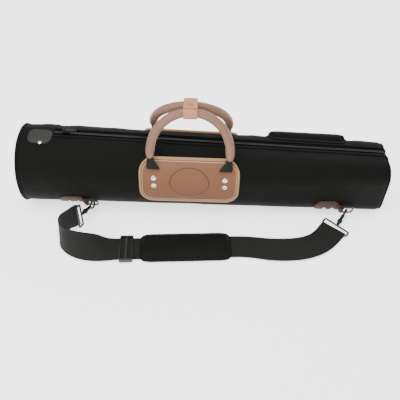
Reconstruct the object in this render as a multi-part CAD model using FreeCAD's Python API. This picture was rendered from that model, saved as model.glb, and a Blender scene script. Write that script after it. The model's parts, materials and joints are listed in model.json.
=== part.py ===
import FreeCAD, Part
import math
import os

# Telescope carry case: a long padded case that tapers from a round end to a squared end.
# +X runs along the case to the squared end, -Y is the front, +Z is up, the case rests on z = 0.

# --- the case ---
case_length = 700.0
round_half = 72.0          # half the height and width at the round end
round_corner = 69.0        # its corner radius, so the section is nearly a circle
square_half = 56.0         # half the height and width at the squared end
square_corner = 30.0
wall = 8.5                 # nylon, foam and backing together
lining = 1.2
lining_play = 0.2
edge_gap = 0.5             # between the lid and the base, all round the opening
collar_length = 65.0       # the closed stretch beside the round end
hinge_z = 20.0             # height of the sewn hinge line along the back
hinge_play = 0.8           # the hinge axis stands this far outside the cloth

# --- zip ---
zip_y = 6.0
tape_width = 10.0
tape_depth = 1.0           # the tape lies this far below the cloth
tape_thick = 1.6
coil_width = 2.2
coil_gap = 0.35
coil_proud = 1.0
piping_width = 2.6
piping_proud = 1.8
slider_length = 13.0
slider_width = 9.0
slider_height = 3.6
slider_play = 0.3
pull_length = 24.0
pull_width = 7.0
pull_thick = 1.6
patch_length = 44.0
patch_width = 36.0
patch_thick = 1.8

# --- handle plates and handles ---
plate_length = 187.0
plate_height = 88.0
plate_corner = 26.0
plate_thick = 3.0
rim_width = 4.5
rim_proud = 1.6
plate_x = -28.0
plate_angle = 18.0         # above the horizontal, seen from the end
slot_spread = 66.0         # from the middle of the plate
slot_up = 24.2             # above the plate's middle, along its face
grip_radius = 8.3
arch_radius = 73.0
arch_height = 104.0        # from the handle's axis to the middle of the grip
arch_sweep = 100.0         # each side of the top
grip_apart = 3.6           # between the two grips, room for the keeper's band
foot_radius = 3.0
foot_length = 24.0
foot_gap = 0.4
foot_thick = 5.0
rivet_radius = 5.0
rivet_proud = 2.2
rivet_spread = 66.0
rivet_ups = (7.9, -6.2)    # above the plate's middle
rivet_seat = 0.25          # clearance under a rivet's head on the curved leather
rivet_skirt = 0.6

# --- keeper that holds the two grips together ---
keeper_width = 25.0
keeper_thick = 2.0
keeper_play = 0.3
flap_reach = 6.0           # in front of the front grip's middle, where the flap is sewn
flap_tuck = 9.0            # under the back grip
snap_back = 4.0            # behind the front grip's middle
snap_radius = 5.0
snap_proud = 2.4

# --- ring tabs, rings, hooks ---
tab_length = 48.0
tab_height = 26.0
tab_thick = 3.0
tab_angle = -30.0
left_tab_x = -254.0
right_tab_x = 240.0
tab_rivet_radius = 3.2
tab_rivet_spread = 8.0
tab_loop_radius = 4.6
tab_loop_width = 12.0
tab_loop_lift = 6.9        # the loop's middle above the cloth
tab_bridge = 9.0           # leather between the tab and its loop
tab_bridge_gap = 0.1
tab_rivet_proud = 1.4
tab_rivet_shift = 3.0      # off the tab's middle, along it, and as many degrees down
ring_wire = 1.6
ring_width = 22.0
ring_height = 22.0
ring_play = 0.4
eye_radius = 7.0
eye_wire = 1.9
gate_wire = 1.5
barrel_radius = 3.4
barrel_end = 30.0
collar_from_eye = 21.0
collar_wide = 4.0
collar_proud = 1.6
stem_radius = 2.6
gate_start = 39.0          # degrees round the eye from the barrel's way
gate_sweep = 38.0
hook_sweep = 272.0         # degrees of the eye that the hook itself covers
loop_wire = 1.8
loop_bar = 46.0            # from the eye to the bar that the webbing goes round
loop_depth = 11.0
loop_room = 3.4            # more than the webbing is wide

# --- strap ---
webbing_width = 50.0
webbing_thick = 2.4
sewn_end = 12.0
sewn_thick = 7.0
sewn_wrap = 1.4            # webbing folded round the far side of the bar
sewn_play = 0.3
strap_gap = 1.1
left_loop_lift = 0.6       # its wire above the ground
right_loop_lift = 1.2      # the sewn end above the ground
strap_lift = 2.6           # the flat webbing lies this far above the ground, on the pad's sleeve
pad_length = 170.0
pad_side = 12.5            # beyond the webbing on each side
pad_end_side = 4.0
pad_round = 9.0
pad_thick = 17.0
pad_taper = 20.0
pad_play = 0.7
slide_length = 25.0
slide_side = 4.5           # the frame beyond the webbing on each side
slide_thick = 7.5
slide_corner = 3.0
slide_bar = 4.0            # the middle bar
pad_x = -32.0
slide_x = -141.0

# --- accessory pocket on the back ---
pocket_x0 = 120.0
pocket_x1 = 278.0
pocket_height = 56.0
pocket_thick = 12.0
pocket_angle = 138.0
pocket_corner = 16.0

# --- bottom board ---
board_thick = 2.0
board_width = 44.0
board_setback = 10.0       # from the collar
board_end = 20.0           # from the squared end

V = FreeCAD.Vector
x_left = -case_length / 2
x_right = case_length / 2
lid_x = x_left + collar_length
tiny = 0.001
past = 9.0                 # a cutting tool runs this far past what it cuts
parts = {}


def half(x):
    return round_half + (square_half - round_half) * (x - x_left) / case_length


def corner(x):
    return round_corner + (square_corner - round_corner) * (x - x_left) / case_length


def section(x, inset):
    """The case's outline at x, as a closed wire, drawn in by inset."""
    middle = half(x)
    size = middle - inset
    radius = corner(x) - inset
    straight = size - radius
    diagonal = straight + radius / math.sqrt(2)
    edges = []
    for turn in range(4):
        c, s = [(1, 0), (0, 1), (-1, 0), (0, -1)][turn]

        def at(a, b):
            return V(x, a * c - b * s, middle + a * s + b * c)

        edges.append(Part.makeLine(at(size, -straight), at(size, straight)))
        edges.append(Part.Arc(at(size, straight), at(diagonal, diagonal), at(straight, size)).toShape())
    return Part.Wire(edges)


def closed(inset):
    """The whole case's form drawn in by inset, ends included, with true planes where it is flat."""
    loft = Part.makeLoft([section(x_left + inset, inset), section(x_right - inset, inset)], True, True)
    faces = []
    for face in loft.Faces:
        corners = [v.Point for v in face.OuterWire.OrderedVertexes]
        sides = sum(a.distanceToPoint(b) for a, b in zip(corners, corners[1:] + corners[:1]))
        flat = abs(face.OuterWire.Length - sides) < tiny
        faces.append(Part.Face(Part.makePolygon(corners + corners[:1])) if flat else face)
    whole = Part.Shell(faces)
    whole.sewShape()
    return Part.Solid(whole)


def skin(outer, inner):
    return closed(outer).cut(closed(inner))


def box(x0, x1, y0, y1, z0, z1):
    return Part.makeBox(x1 - x0, y1 - y0, z1 - z0, V(x0, y0, z0))


def reach(x, angle, lift=0.0):
    """A point lift above the cloth, seen at that angle above the front, and the cloth's normal there."""
    a = math.radians(angle)
    c, s = math.cos(a), math.sin(a)
    size, radius = half(x), corner(x)
    k = size - radius
    big, small = max(abs(c), abs(s)), min(abs(c), abs(s))
    far = size / big
    if far * small > k:
        far = k * (big + small) + math.sqrt((k * (big + small)) ** 2 - 2 * k * k + radius * radius)
    y, z = far * c, far * s
    ny = 0.0 if abs(y) <= k else math.copysign(abs(y) - k, y)
    nz = 0.0 if abs(z) <= k else math.copysign(abs(z) - k, z)
    if abs(y) >= size - tiny:
        nz = 0.0
    if abs(z) >= size - tiny:
        ny = 0.0
    n = V(0, -ny, nz)
    n.normalize()
    return V(x, -y, size + z) + n * lift, n


def placed(shape, origin, u, n):
    """Moves a shape drawn in local axes so that local X runs along u and local Z along n."""
    u = V(u)
    u.normalize()
    n = V(n)
    n = n - u * n.dot(u)
    n.normalize()
    w = n.cross(u)
    m = FreeCAD.Matrix(u.x, w.x, n.x, origin.x, u.y, w.y, n.y, origin.y, u.z, w.z, n.z, origin.z, 0, 0, 0, 1)
    moved = shape.copy()
    moved.Placement = FreeCAD.Placement(m).multiply(shape.Placement)
    return moved


def rounded(length, height, radius):
    """A flat rounded rectangle in local XY, centred."""
    a, b = length / 2 - radius, height / 2 - radius
    d = radius / math.sqrt(2)
    edges = []
    for sx, sy in [(1, 1), (-1, 1), (-1, -1), (1, -1)]:
        first, last = V(sx * (a + radius), sy * b), V(sx * a, sy * (b + radius))
        if sx * sy < 0:
            first, last = last, first
        edges.append(Part.Arc(first, V(sx * (a + d), sy * (b + d)), last).toShape())
    ends = [(e.valueAt(e.FirstParameter), e.valueAt(e.LastParameter)) for e in edges]
    lines = [Part.makeLine(ends[i][1], ends[(i + 1) % 4][0]) for i in range(4)]
    return Part.Wire([e for pair in zip(edges, lines) for e in pair])


def on_cloth(wire, x, angle, outer, inner, deep=120.0):
    """The piece of the skin between two insets that lies under a flat outline held out at that angle."""
    a = math.radians(angle)
    out = V(0, -math.cos(a), math.sin(a))
    prism = Part.Face(wire).extrude(V(0, 0, deep))
    prism = placed(prism, V(x, 0, half(x)), V(1, 0, 0), out)
    return skin(outer, inner).common(prism)


def dome(point, normal, radius, proud):
    """A rivet's head: a low dome on a short skirt."""
    ball = (radius * radius + proud * proud) / (2 * proud)
    head = Part.makeSphere(ball, V(0, 0, proud - ball)).common(Part.makeCylinder(radius, proud))
    head = head.fuse(Part.makeCylinder(radius, rivet_skirt)).removeSplitter()
    return placed(head, point, V(1, 0, 0), normal)


def rounded_ring(length, height, radius, wire):
    """A wire bent into a rounded rectangle, in local XY."""
    a, b = length / 2 - radius, height / 2 - radius
    bars = []
    for sx, sy in [(1, 1), (-1, 1), (-1, -1), (1, -1)]:
        start = {(1, 1): 0, (-1, 1): 90, (-1, -1): 180, (1, -1): 270}[(sx, sy)]
        bend = Part.makeTorus(radius, wire, V(0, 0, 0), V(0, 0, 1), 0, 360, 90)
        bend.rotate(V(0, 0, 0), V(0, 0, 1), start)
        bend.translate(V(sx * a, sy * b, 0))
        bars.append(bend)
    for sy in (1, -1):
        bars.append(Part.makeCylinder(wire, 2 * a, V(-a, sy * (b + radius), 0), V(1, 0, 0)))
    for sx in (1, -1):
        bars.append(Part.makeCylinder(wire, 2 * b, V(sx * (a + radius), -b, 0), V(0, 1, 0)))
    ring = bars[0]
    for bar in bars[1:]:
        ring = ring.fuse(bar)
    return ring.removeSplitter()


# --- padded walls ---
far = 400.0
opening = box(lid_x, x_right + past, zip_y - tape_width, far, hinge_z, far)
lid_space = box(lid_x + edge_gap, x_right + past, zip_y + tape_width, far, hinge_z + edge_gap, far)
padded_wall = skin(0, wall)
round_end = box(x_left - past, x_left + wall, -far, far, -past, far)
square_end = box(x_right - wall, x_right + past, -far, far, -past, far)
collar_space = box(x_left + wall, lid_x, -far, far, -past, far)
base_wall = padded_wall.cut(opening)
parts["round_end_panel"] = base_wall.common(round_end)
parts["round_end_collar"] = base_wall.common(collar_space)
parts["square_end_front_panel"] = base_wall.common(square_end)
parts["front_shell"] = base_wall.cut(round_end).cut(collar_space).cut(square_end)
lid_wall = padded_wall.common(lid_space)
parts["back_lid"] = lid_wall.cut(square_end)
parts["square_end_back_panel"] = lid_wall.common(square_end)

# --- lining, a skin against the inside of the padding ---
inner_skin = skin(wall, wall + lining)
parts["base_lining"] = inner_skin.cut(opening)
parts["lid_lining"] = inner_skin.common(lid_space)

# --- zip tapes, coils and the piping beside them ---
tape_skin = skin(tape_depth, tape_depth + tape_thick)
coil_skin = skin(-coil_proud, tape_depth + tape_thick)
bead_skin = skin(-piping_proud, 0)
zip_z0 = hinge_z + edge_gap
run_end = x_right + past
coil_edge = zip_y - coil_gap / 2
parts["front_zip_tape"] = tape_skin.common(
    box(lid_x, run_end, zip_y - tape_width, coil_edge - coil_width, zip_z0, far))
parts["front_zip_coil"] = coil_skin.common(
    box(lid_x, run_end, coil_edge - coil_width, coil_edge, zip_z0, far))
coil_edge = zip_y + coil_gap / 2
parts["back_zip_tape"] = tape_skin.common(
    box(lid_x + edge_gap, run_end, coil_edge + coil_width, zip_y + tape_width, zip_z0, far))
parts["back_zip_coil"] = coil_skin.common(
    box(lid_x + edge_gap, run_end, coil_edge, coil_edge + coil_width, zip_z0, far))
parts["front_piping"] = bead_skin.common(
    box(lid_x, run_end, zip_y - tape_width - piping_width, zip_y - tape_width, zip_z0, far))
parts["back_piping"] = bead_skin.common(
    box(lid_x + edge_gap, run_end, zip_y + tape_width, zip_y + tape_width + piping_width, zip_z0, far))
parts["round_end_piping"] = bead_skin.common(
    box(x_left, x_left + 2 * piping_width, -far, far, tiny, far))

# --- zip slider and its pull, parked at the collar ---
run_direction = V(case_length, 0, 2 * (square_half - round_half))
run_direction.normalize()
up = V(-run_direction.z, 0, run_direction.x)
slider_x = lid_x + 22.0
slider_at = V(slider_x, zip_y, 2 * half(slider_x)) + up * (coil_proud + slider_play)
slider = Part.Face(rounded(slider_length, slider_width, 3.0)).extrude(V(0, 0, slider_height))
pin_up = 1.7               # the pull's pin above the slider's top
pin_back = 3.0             # and behind its middle
pin_radius = 0.9
pin_play = 0.4
bridge_length = 5.0
bridge_width = 3.0
bridge = Part.makeBox(bridge_length, bridge_width, 2 * pin_up,
                      V(-pin_back - bridge_length / 2, -bridge_width / 2, slider_height))
pin_hole = Part.makeCylinder(pin_radius + pin_play, 2 * bridge_width,
                             V(-pin_back, -bridge_width, slider_height + pin_up), V(0, 1, 0))
parts["zip_slider"] = placed(slider.fuse(bridge).cut(pin_hole), slider_at, run_direction, up)
pull = Part.Face(rounded(pull_length, pull_width, 3.2)).extrude(V(0, 0, pull_thick))
pull.translate(V(pull_length / 2 - pull_thick / 2, 0, -pull_thick / 2))
window_width = bridge_width + 2 * pin_play
pull_window = Part.makeBox(bridge_length + 4.2, window_width, 4 * pull_thick,
                           V(-bridge_length - 1.0, -window_width / 2, -2 * pull_thick))
pull_pin = Part.makeCylinder(pin_radius, window_width + 1.2, V(0, -window_width / 2 - 0.6, 0), V(0, 1, 0))
pull_eye = Part.makeCylinder(1.6, 4 * pull_thick, V(pull_length - 5.0, 0, -2 * pull_thick))
pull = pull.cut(pull_window).fuse(pull_pin).cut(pull_eye)
pull_axis = slider_at + up * (slider_height + pin_up) - run_direction * pin_back
parts["zip_pull"] = placed(pull, pull_axis, run_direction, up)

# --- leather patch that covers the zip's end on the collar ---
patch_x = lid_x - patch_length / 2 - 1.0
parts["zip_end_patch"] = on_cloth(rounded(patch_length, patch_width, 12.0), patch_x, 84.0, -patch_thick, 0)
spot, out = reach(patch_x + 3.0, 70.0, patch_thick + rivet_seat)
parts["patch_rivet"] = dome(spot, out, 3.4, 1.5)

# --- handle plates ---
def plate_turn(up_face):
    """The angle above the front of a spot on the plate, so far above the plate's middle."""
    return plate_angle + math.degrees(math.asin(up_face / half(plate_x)))


def handle_side(prefix, mirror):
    """The plate, its rim and rivets on one side; mirror is 1 in front and -1 behind."""
    def angle(a):
        return a if mirror > 0 else 180 - a

    outline = rounded(plate_length, plate_height, plate_corner)
    inner = rounded(plate_length - 2 * rim_width, plate_height - 2 * rim_width, plate_corner - rim_width)
    plate = on_cloth(outline, plate_x, angle(plate_angle), -plate_thick, 0)
    rim = on_cloth(outline, plate_x, angle(plate_angle), -plate_thick - rim_proud, -plate_thick)
    rim = rim.cut(on_cloth(inner, plate_x, angle(plate_angle), -plate_thick - 2 * rim_proud, 0))
    parts[prefix + "_plate"] = plate
    parts[prefix + "_plate_rim"] = rim
    rivets = []
    for side in (-1, 1):
        for up_face in rivet_ups:
            turn = angle(plate_turn(up_face))
            spot, out = reach(plate_x + side * rivet_spread, turn, plate_thick + rivet_seat)
            rivets.append(dome(spot, out, rivet_radius, rivet_proud))
    parts[prefix + "_plate_rivets"] = Part.makeCompound(rivets)


handle_side("front", 1)
handle_side("back", -1)


# --- handles: a leather grip on an arch, with a webbing foot at each end ---
def handle(prefix, mirror):
    lift = plate_thick + foot_radius + foot_gap
    ends = []
    for side in (-1, 1):
        spot, out = reach(plate_x + side * slot_spread, plate_turn(slot_up), lift)
        ends.append(V(spot.x, spot.y * mirror, spot.z))
    axis = ends[1] - ends[0]
    axis.normalize()
    foot = (ends[0] + ends[1]) * 0.5
    top_y = -mirror * (grip_radius + grip_apart / 2)
    rise = math.sqrt(arch_height ** 2 - (top_y - foot.y) ** 2)
    lean = V(0, top_y - foot.y, rise)
    normal = axis.cross(lean)
    # local X along the axis, local Y up the arch, local Z out of its plane
    middle = arch_height - arch_radius
    grip = Part.makeTorus(arch_radius, grip_radius, V(0, 0, 0), V(0, 0, 1), 0, 360, 2 * arch_sweep)
    grip.rotate(V(0, 0, 0), V(0, 0, 1), 90 - arch_sweep)
    grip.translate(V(0, middle, 0))
    feet = []
    for side in (-1, 1):
        a = math.radians(arch_sweep)
        end = V(side * arch_radius * math.sin(a), middle + arch_radius * math.cos(a), 0)
        start = V(side * slot_spread, 0, 0)
        barrel = Part.makeCylinder(foot_radius, foot_length, start - V(foot_length / 2, 0, 0), V(1, 0, 0))
        low = [V(-foot_length / 2, 0.5, -foot_thick / 2), V(foot_length / 2, 0.5, -foot_thick / 2),
               V(foot_length / 2, 0.5, foot_thick / 2), V(-foot_length / 2, 0.5, foot_thick / 2)]
        width = 1.2 * grip_radius
        high = [V(-width / 2, 0, -width / 2), V(width / 2, 0, -width / 2),
                V(width / 2, 0, width / 2), V(-width / 2, 0, width / 2)]
        low = [start + p for p in low]
        high = [end + p for p in high]
        leg = Part.makeLoft([Part.makePolygon(ring + ring[:1]) for ring in (low, high)], True, True)
        feet.append(barrel.fuse(leg).cut(grip))
    parts[prefix + "_grip"] = placed(grip, foot, axis, normal)
    parts[prefix + "_grip_webbing"] = placed(Part.makeCompound(feet), foot, axis, normal)
    top = foot + V(lean.x, lean.y, lean.z) * (arch_height / lean.Length)
    return foot, axis, top


front_foot, front_axis, front_top = handle("front", 1)
back_foot, back_axis, back_top = handle("back", -1)

# --- keeper: a band sewn round the front grip, and a flap that closes over the back grip ---
fy, by, kz = front_top.y, back_top.y, front_top.z
kx = front_top.x - keeper_width / 2
along = V(keeper_width, 0, 0)
# the arch drops away beside the keeper's middle, so its hole is that much taller than the grip
drop = arch_radius - math.sqrt(arch_radius ** 2 - (keeper_width / 2) ** 2)
lean_y = abs(front_top.y - front_foot.y) / arch_height
hole_y = grip_radius + keeper_play + lean_y * drop
hole_z = grip_radius + keeper_play + drop


def disc(y, z, radius):
    return Part.Face(Part.Wire(Part.makeCircle(radius, V(kx, y, z), V(1, 0, 0)))).extrude(along)


def slab(y0, y1, z0, z1):
    return box(kx, kx + keeper_width, y0, y1, z0, z1)


def tube_block(half_y, half_z, radius):
    """A block along X with a rounded section, centred on the front grip's top."""
    block = Part.Face(rounded(2 * half_y, 2 * half_z, radius)).extrude(V(0, 0, keeper_width))
    return placed(block, V(kx, fy, kz), V(0, 1, 0), V(1, 0, 0))


hole_corner = 7.0
band = tube_block(hole_y + keeper_thick, hole_z + keeper_thick, hole_corner + keeper_thick)
band = band.cut(tube_block(hole_y, hole_z, hole_corner))
floor_strip = slab(fy, by, kz - hole_z - keeper_thick, kz - hole_z)
parts["keeper_band"] = band.fuse(floor_strip).removeSplitter()
over = hole_z + keeper_thick + keeper_play
flap_front = fy - flap_reach
flap = disc(by, kz, over + keeper_thick).cut(disc(by, kz, over)).cut(slab(by - 40, by, kz - 40, kz + 40))
flap = flap.fuse(slab(flap_front, by, kz + over, kz + over + keeper_thick))
flap = flap.fuse(slab(by - flap_tuck, by, kz - over - keeper_thick, kz - over)).removeSplitter()
parts["keeper_flap"] = flap
keeper_axis = V(front_top.x, flap_front, kz + over + keeper_thick / 2)
snap_at = V(front_top.x, fy + snap_back, kz + over + keeper_thick)
parts["keeper_snap"] = dome(snap_at, V(0, 0, 1), snap_radius, snap_proud)


# --- leather ring tabs, rings and rivets ---
def tab(name, x, loop_side):
    outline = rounded(tab_length, tab_height, tab_height / 2 - 0.5)
    leather = on_cloth(outline, x, tab_angle, -tab_thick, 0)
    loop_x = x + loop_side * (tab_length / 2 + tab_loop_radius - 1.0)
    spot, out = reach(loop_x, tab_angle, tab_loop_lift)
    side = V(1, 0, 0).cross(out)
    loop = Part.makeCylinder(tab_loop_radius, tab_loop_width, V(0, -tab_loop_width / 2, 0), V(0, 1, 0))
    bore = Part.makeCylinder(ring_wire + ring_play, 2 * tab_loop_width, V(0, -tab_loop_width, 0), V(0, 1, 0))
    loop = placed(loop.cut(bore), spot, V(1, 0, 0), out)
    low, high = tab_thick / 2 - tab_loop_lift, -ring_wire - ring_play - tab_bridge_gap
    bridge = Part.makeBox(tab_bridge, tab_loop_width, high - low, V(-tab_bridge, -tab_loop_width / 2, low))
    bridge = placed(bridge, spot, V(loop_side, 0, 0), out)
    leather = leather.fuse(loop).fuse(bridge)
    parts[name + "_ring_tab"] = leather
    # the ring lies along the cloth, one bar in the leather loop and the lower bar free for the hook
    ring = rounded_ring(ring_width, ring_height, 5.0, ring_wire)
    middle = spot + V(loop_side * ring_width / 2, 0, 0)
    parts[name + "_ring"] = placed(ring, middle, V(1, 0, 0), out)
    down = side if side.z < 0 else side * -1
    return middle + down * (ring_height / 2)


left_bar = tab("left", left_tab_x, 1)
right_bar = tab("right", right_tab_x, 1)
tab_rivets = []
for x in (left_tab_x, right_tab_x):
    for side in (-1, 1):
        spot_x = x + tab_rivet_shift + side * tab_rivet_spread
        spot, out = reach(spot_x, tab_angle - tab_rivet_shift, tab_thick + rivet_seat)
        tab_rivets.append(dome(spot, out, tab_rivet_radius, tab_rivet_proud))
parts["ring_tab_rivets"] = Part.makeCompound(tab_rivets)


# --- snap hooks ---
def hook(name, eye, target, web_width_way, web_way):
    """A snap hook from the ring to the webbing's bar. Local X runs along it, local Z through its eye."""
    u = target - eye
    u.normalize()
    n = V(1, 0, 0) - u * u.x
    n.normalize()
    # the ring's bar crosses the eye at a slant, so the eye hangs lower by that much
    hang = eye_radius - (eye_wire + ring_wire + ring_play) / n.x
    pivot = eye
    eye = eye + u * hang
    arc = Part.makeTorus(eye_radius, eye_wire, V(0, 0, 0), V(0, 0, 1), 0, 360, hook_sweep)
    arc.rotate(V(0, 0, 0), V(0, 0, 1), 360 - hook_sweep)
    barrel = Part.makeCylinder(barrel_radius, barrel_end - eye_radius, V(eye_radius, 0, 0), V(1, 0, 0))
    collar = Part.makeCylinder(barrel_radius + collar_proud, collar_wide, V(collar_from_eye, 0, 0))
    collar.rotate(V(collar_from_eye, 0, 0), V(0, 1, 0), 90)
    parts[name + "_hook"] = placed(arc.fuse(barrel).fuse(collar), eye, u, n)
    gate = Part.makeTorus(eye_radius, gate_wire, V(0, 0, 0), V(0, 0, 1), 0, 360, gate_sweep)
    gate.rotate(V(0, 0, 0), V(0, 0, 1), gate_start)
    parts[name + "_hook_gate"] = placed(gate, eye, u, n)
    # the loop keeps the webbing's own direction across, and turns a little on its stem
    across = V(web_width_way)
    across.normalize()
    on = u - across * u.dot(across)
    on.normalize()
    near = eye + u * (loop_bar - loop_depth)
    loop = rounded_ring(loop_depth, webbing_width + loop_room, 3.0, loop_wire)
    loop.translate(V(loop_depth / 2, 0, 0))
    stem = Part.makeCylinder(stem_radius, loop_bar - loop_depth - barrel_end, V(barrel_end, 0, 0), V(1, 0, 0))
    loop = placed(loop, near, on, on.cross(across))
    parts[name + "_swivel_loop"] = loop.fuse(placed(stem, eye, u, n))
    bar = near + on * loop_depth
    # the webbing's sewn end, folded round the bar
    way = web_way - across * web_way.dot(across)
    way.normalize()
    behind = loop_wire + sewn_wrap
    end = Part.makeBox(sewn_end + behind, webbing_width, sewn_thick,
                       V(-behind, -webbing_width / 2, -sewn_thick / 2))
    tunnel = Part.makeCylinder(loop_wire + sewn_play, 2 * webbing_width, V(0, -webbing_width, 0), V(0, 1, 0))
    parts[name + "_strap_end"] = placed(end.cut(tunnel), bar, way, way.cross(across))
    a = math.radians(gate_start)
    gate_pivot = eye + (u * math.cos(a) + n.cross(u) * math.sin(a)) * eye_radius
    print(name, "hook pivot", pivot, "gate pivot", gate_pivot, "gate axis", n)
    return bar + way * (sewn_end + strap_gap), way


flat_z = strap_lift + webbing_thick / 2
left_loop = V(-239.0, -112.0, (webbing_width + loop_room) / 2 + loop_wire + left_loop_lift)
right_loop = V(251.0, -103.0, sewn_thick / 2 + right_loop_lift)
left_start, left_way = hook("left", left_bar, left_loop, V(0, 0, 1), V(-1, -0.12, 0))
right_start, right_way = hook("right", right_bar, right_loop, V(0.72, -0.69, 0), V(-0.69, -0.72, -0.02))

# --- strap: flat webbing; each point of a route is x, y and the webbing's tilt from flat in degrees ---
slope = 3.4
pad_y = -153.0
pad_way = V(math.cos(math.radians(slope)), math.sin(math.radians(slope)), 0)


def on_run(x):
    return (x, pad_y + (x - pad_x) * math.tan(math.radians(slope)))


left_route = [
    (left_start.x, left_start.y, 90), (-258, -116, 90), (-265, -127, 88), (-265, -142, 84), (-257, -156, 76),
    (-241, -166, 64), (-219, -171, 50), (-196, -169, 32), (-176, -164, 8),
    (*on_run(-162), 0), (*on_run(-134), 0), (*on_run(-96), 0), (*on_run(-64), 0), (*on_run(pad_x - 1), 0)]
right_route = [
    (right_start.x, right_start.y, 0), (229, -125, 0), (209, -140, 2), (184, -150, 4), (156, -154, 5),
    (126, -154, 4), (98, -149, 1), (*on_run(70), 0), (*on_run(36), 0), (*on_run(0), 0),
    (*on_run(pad_x + 1), 0)]


bend_share = 0.45          # of the shorter run beside a corner, taken up by its bend
least_turn = 0.03          # radians; a corner straighter than this has no bend


def webbing(route, raised, first_way):
    """Straight runs joined by tangent arcs in plan, with the tilt eased along them, as one ruled solid.
    A tilt lifts the edge on the left of the route when raised is 1, and on its right when it is -1."""
    points = [V(p[0], p[1], 0) for p in route]
    stations = [(points[0], first_way, route[0][2])]
    for i in range(1, len(points) - 1):
        a, b = points[i] - points[i - 1], points[i + 1] - points[i]
        short = min(a.Length, b.Length)
        turn = a.getAngle(b)
        if turn < least_turn:
            stations.append((points[i], a + b, route[i][2]))
            continue
        back = bend_share * short
        a.normalize()
        b.normalize()
        start, end = points[i] - a * back, points[i] + b * back
        centre_way = b - a
        centre_way.normalize()
        radius = back / math.tan(turn / 2)
        centre = points[i] + centre_way * (radius / math.cos(turn / 2))
        for share in (0, 0.5, 1):
            spin = FreeCAD.Rotation(V(0, 0, 1), math.degrees(turn) * share * math.copysign(1, a.cross(b).z))
            place = centre + spin.multVec(start - centre)
            before, here, after = route[i - 1][2], route[i][2], route[i + 1][2]
            near = back / (points[i] - points[i - 1]).Length
            far_share = back / (points[i + 1] - points[i]).Length
            tilt = here + (before - here) * near * (1 - share) ** 2 + (after - here) * far_share * share ** 2
            stations.append((place, spin.multVec(a), tilt))
    stations.append((points[-1], points[-1] - points[-2], route[-1][2]))
    wires = []
    for place, way, tilt in stations:
        way = V(way.x, way.y, 0)
        way.normalize()
        t = math.radians(tilt)
        side = V(-way.y, way.x, 0) * (raised * math.cos(t)) + V(0, 0, math.sin(t))
        face = side.cross(way)
        high = webbing_width / 2 * math.sin(t) + webbing_thick / 2 * math.cos(t) + strap_lift
        middle = V(place.x, place.y, max(high, flat_z))
        w, k = side * (webbing_width / 2), face * (webbing_thick / 2)
        corners = [middle - w - k, middle + w - k, middle + w + k, middle - w + k]
        wires.append(Part.makePolygon(corners + corners[:1]))
    return Part.makeLoft(wires, True, True)


parts["left_strap_webbing"] = webbing(left_route, 1, left_way)
parts["right_strap_webbing"] = webbing(right_route, -1, right_way)

# --- shoulder pad and strap adjuster, threaded on the straight run ---
a, b = pad_length / 2, webbing_width / 2 + pad_side
end_half = webbing_width / 2 + pad_end_side
outline = [V(-a, -end_half), V(-a + pad_taper, -b), V(a - pad_taper, -b), V(a, -end_half),
           V(a, end_half), V(a - pad_taper, b), V(-a + pad_taper, b), V(-a, end_half)]
pad = Part.Face(Part.makePolygon(outline + outline[:1])).extrude(V(0, 0, pad_thick))
pad = pad.makeFillet(pad_round, [e for e in pad.Edges if abs(e.tangentAt(e.FirstParameter).z) > 0.9])
pad = pad.makeFillet(pad_thick * 0.3, [e for e in pad.Edges if e.BoundBox.ZMin > pad_thick - tiny])
slot_half = webbing_width / 2 + pad_play


def slot(length):
    """The way through for the flat webbing."""
    return Part.makeBox(length, 2 * slot_half, webbing_thick + 2 * pad_play,
                        V(-length / 2, -slot_half, strap_lift - pad_play))


parts["shoulder_pad"] = placed(pad.cut(slot(pad_length + past)), V(pad_x, pad_y, 0), pad_way, V(0, 0, 1))
slide = Part.Face(rounded(slide_length, webbing_width + 2 * slide_side, slide_corner))
slide = slide.extrude(V(0, 0, slide_thick)).cut(slot(slide_length + past))
window = Part.makeBox(slide_length / 2 - slide_bar, 2 * slot_half, slide_thick,
                      V(slide_bar / 2, -slot_half, strap_lift + pad_play))
slide = slide.cut(window).cut(window.mirror(V(0, 0, 0), V(1, 0, 0)))
slide_y = pad_y + (slide_x - pad_x) * math.tan(math.radians(slope))
parts["strap_adjuster"] = placed(slide, V(slide_x, slide_y, 0.2), pad_way, V(0, 0, 1))

# --- accessory pocket ---
pocket_length = pocket_x1 - pocket_x0
pocket_outline = rounded(pocket_length, pocket_height, pocket_corner)
pocket_x = (pocket_x0 + pocket_x1) / 2
parts["accessory_pocket"] = on_cloth(pocket_outline, pocket_x, pocket_angle, -pocket_thick, 0)

# --- stiffening board under the lining along the bottom ---
board_space = box(lid_x + board_setback, x_right - board_end, -board_width / 2, board_width / 2, -past, far)
board_space = board_space.cut(box(x_left, x_right, -far, far, half(x_right), far))
parts["bottom_board"] = skin(wall + lining, wall + lining + board_thick).common(board_space)

os.makedirs("parts", exist_ok=True)
for name, shape in parts.items():
    solids = shape.Solids
    if not shape.isValid() or not solids:
        print("not a sound solid:", name)
    whole = solids[0] if len(solids) == 1 else Part.makeCompound(solids)
    whole.exportStep("parts/" + name + ".step")

# where the joints' axes lie
below = corner(x_right) - hinge_z
hinge_y = half(x_right) - corner(x_right) + math.sqrt(corner(x_right) ** 2 - below ** 2) + hinge_play
print("lid hinge at y", hinge_y, "handles at", front_foot, front_axis, back_foot, back_axis)
print("keeper at", keeper_axis, "pull at", pull_axis, "zip way", run_direction)
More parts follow.
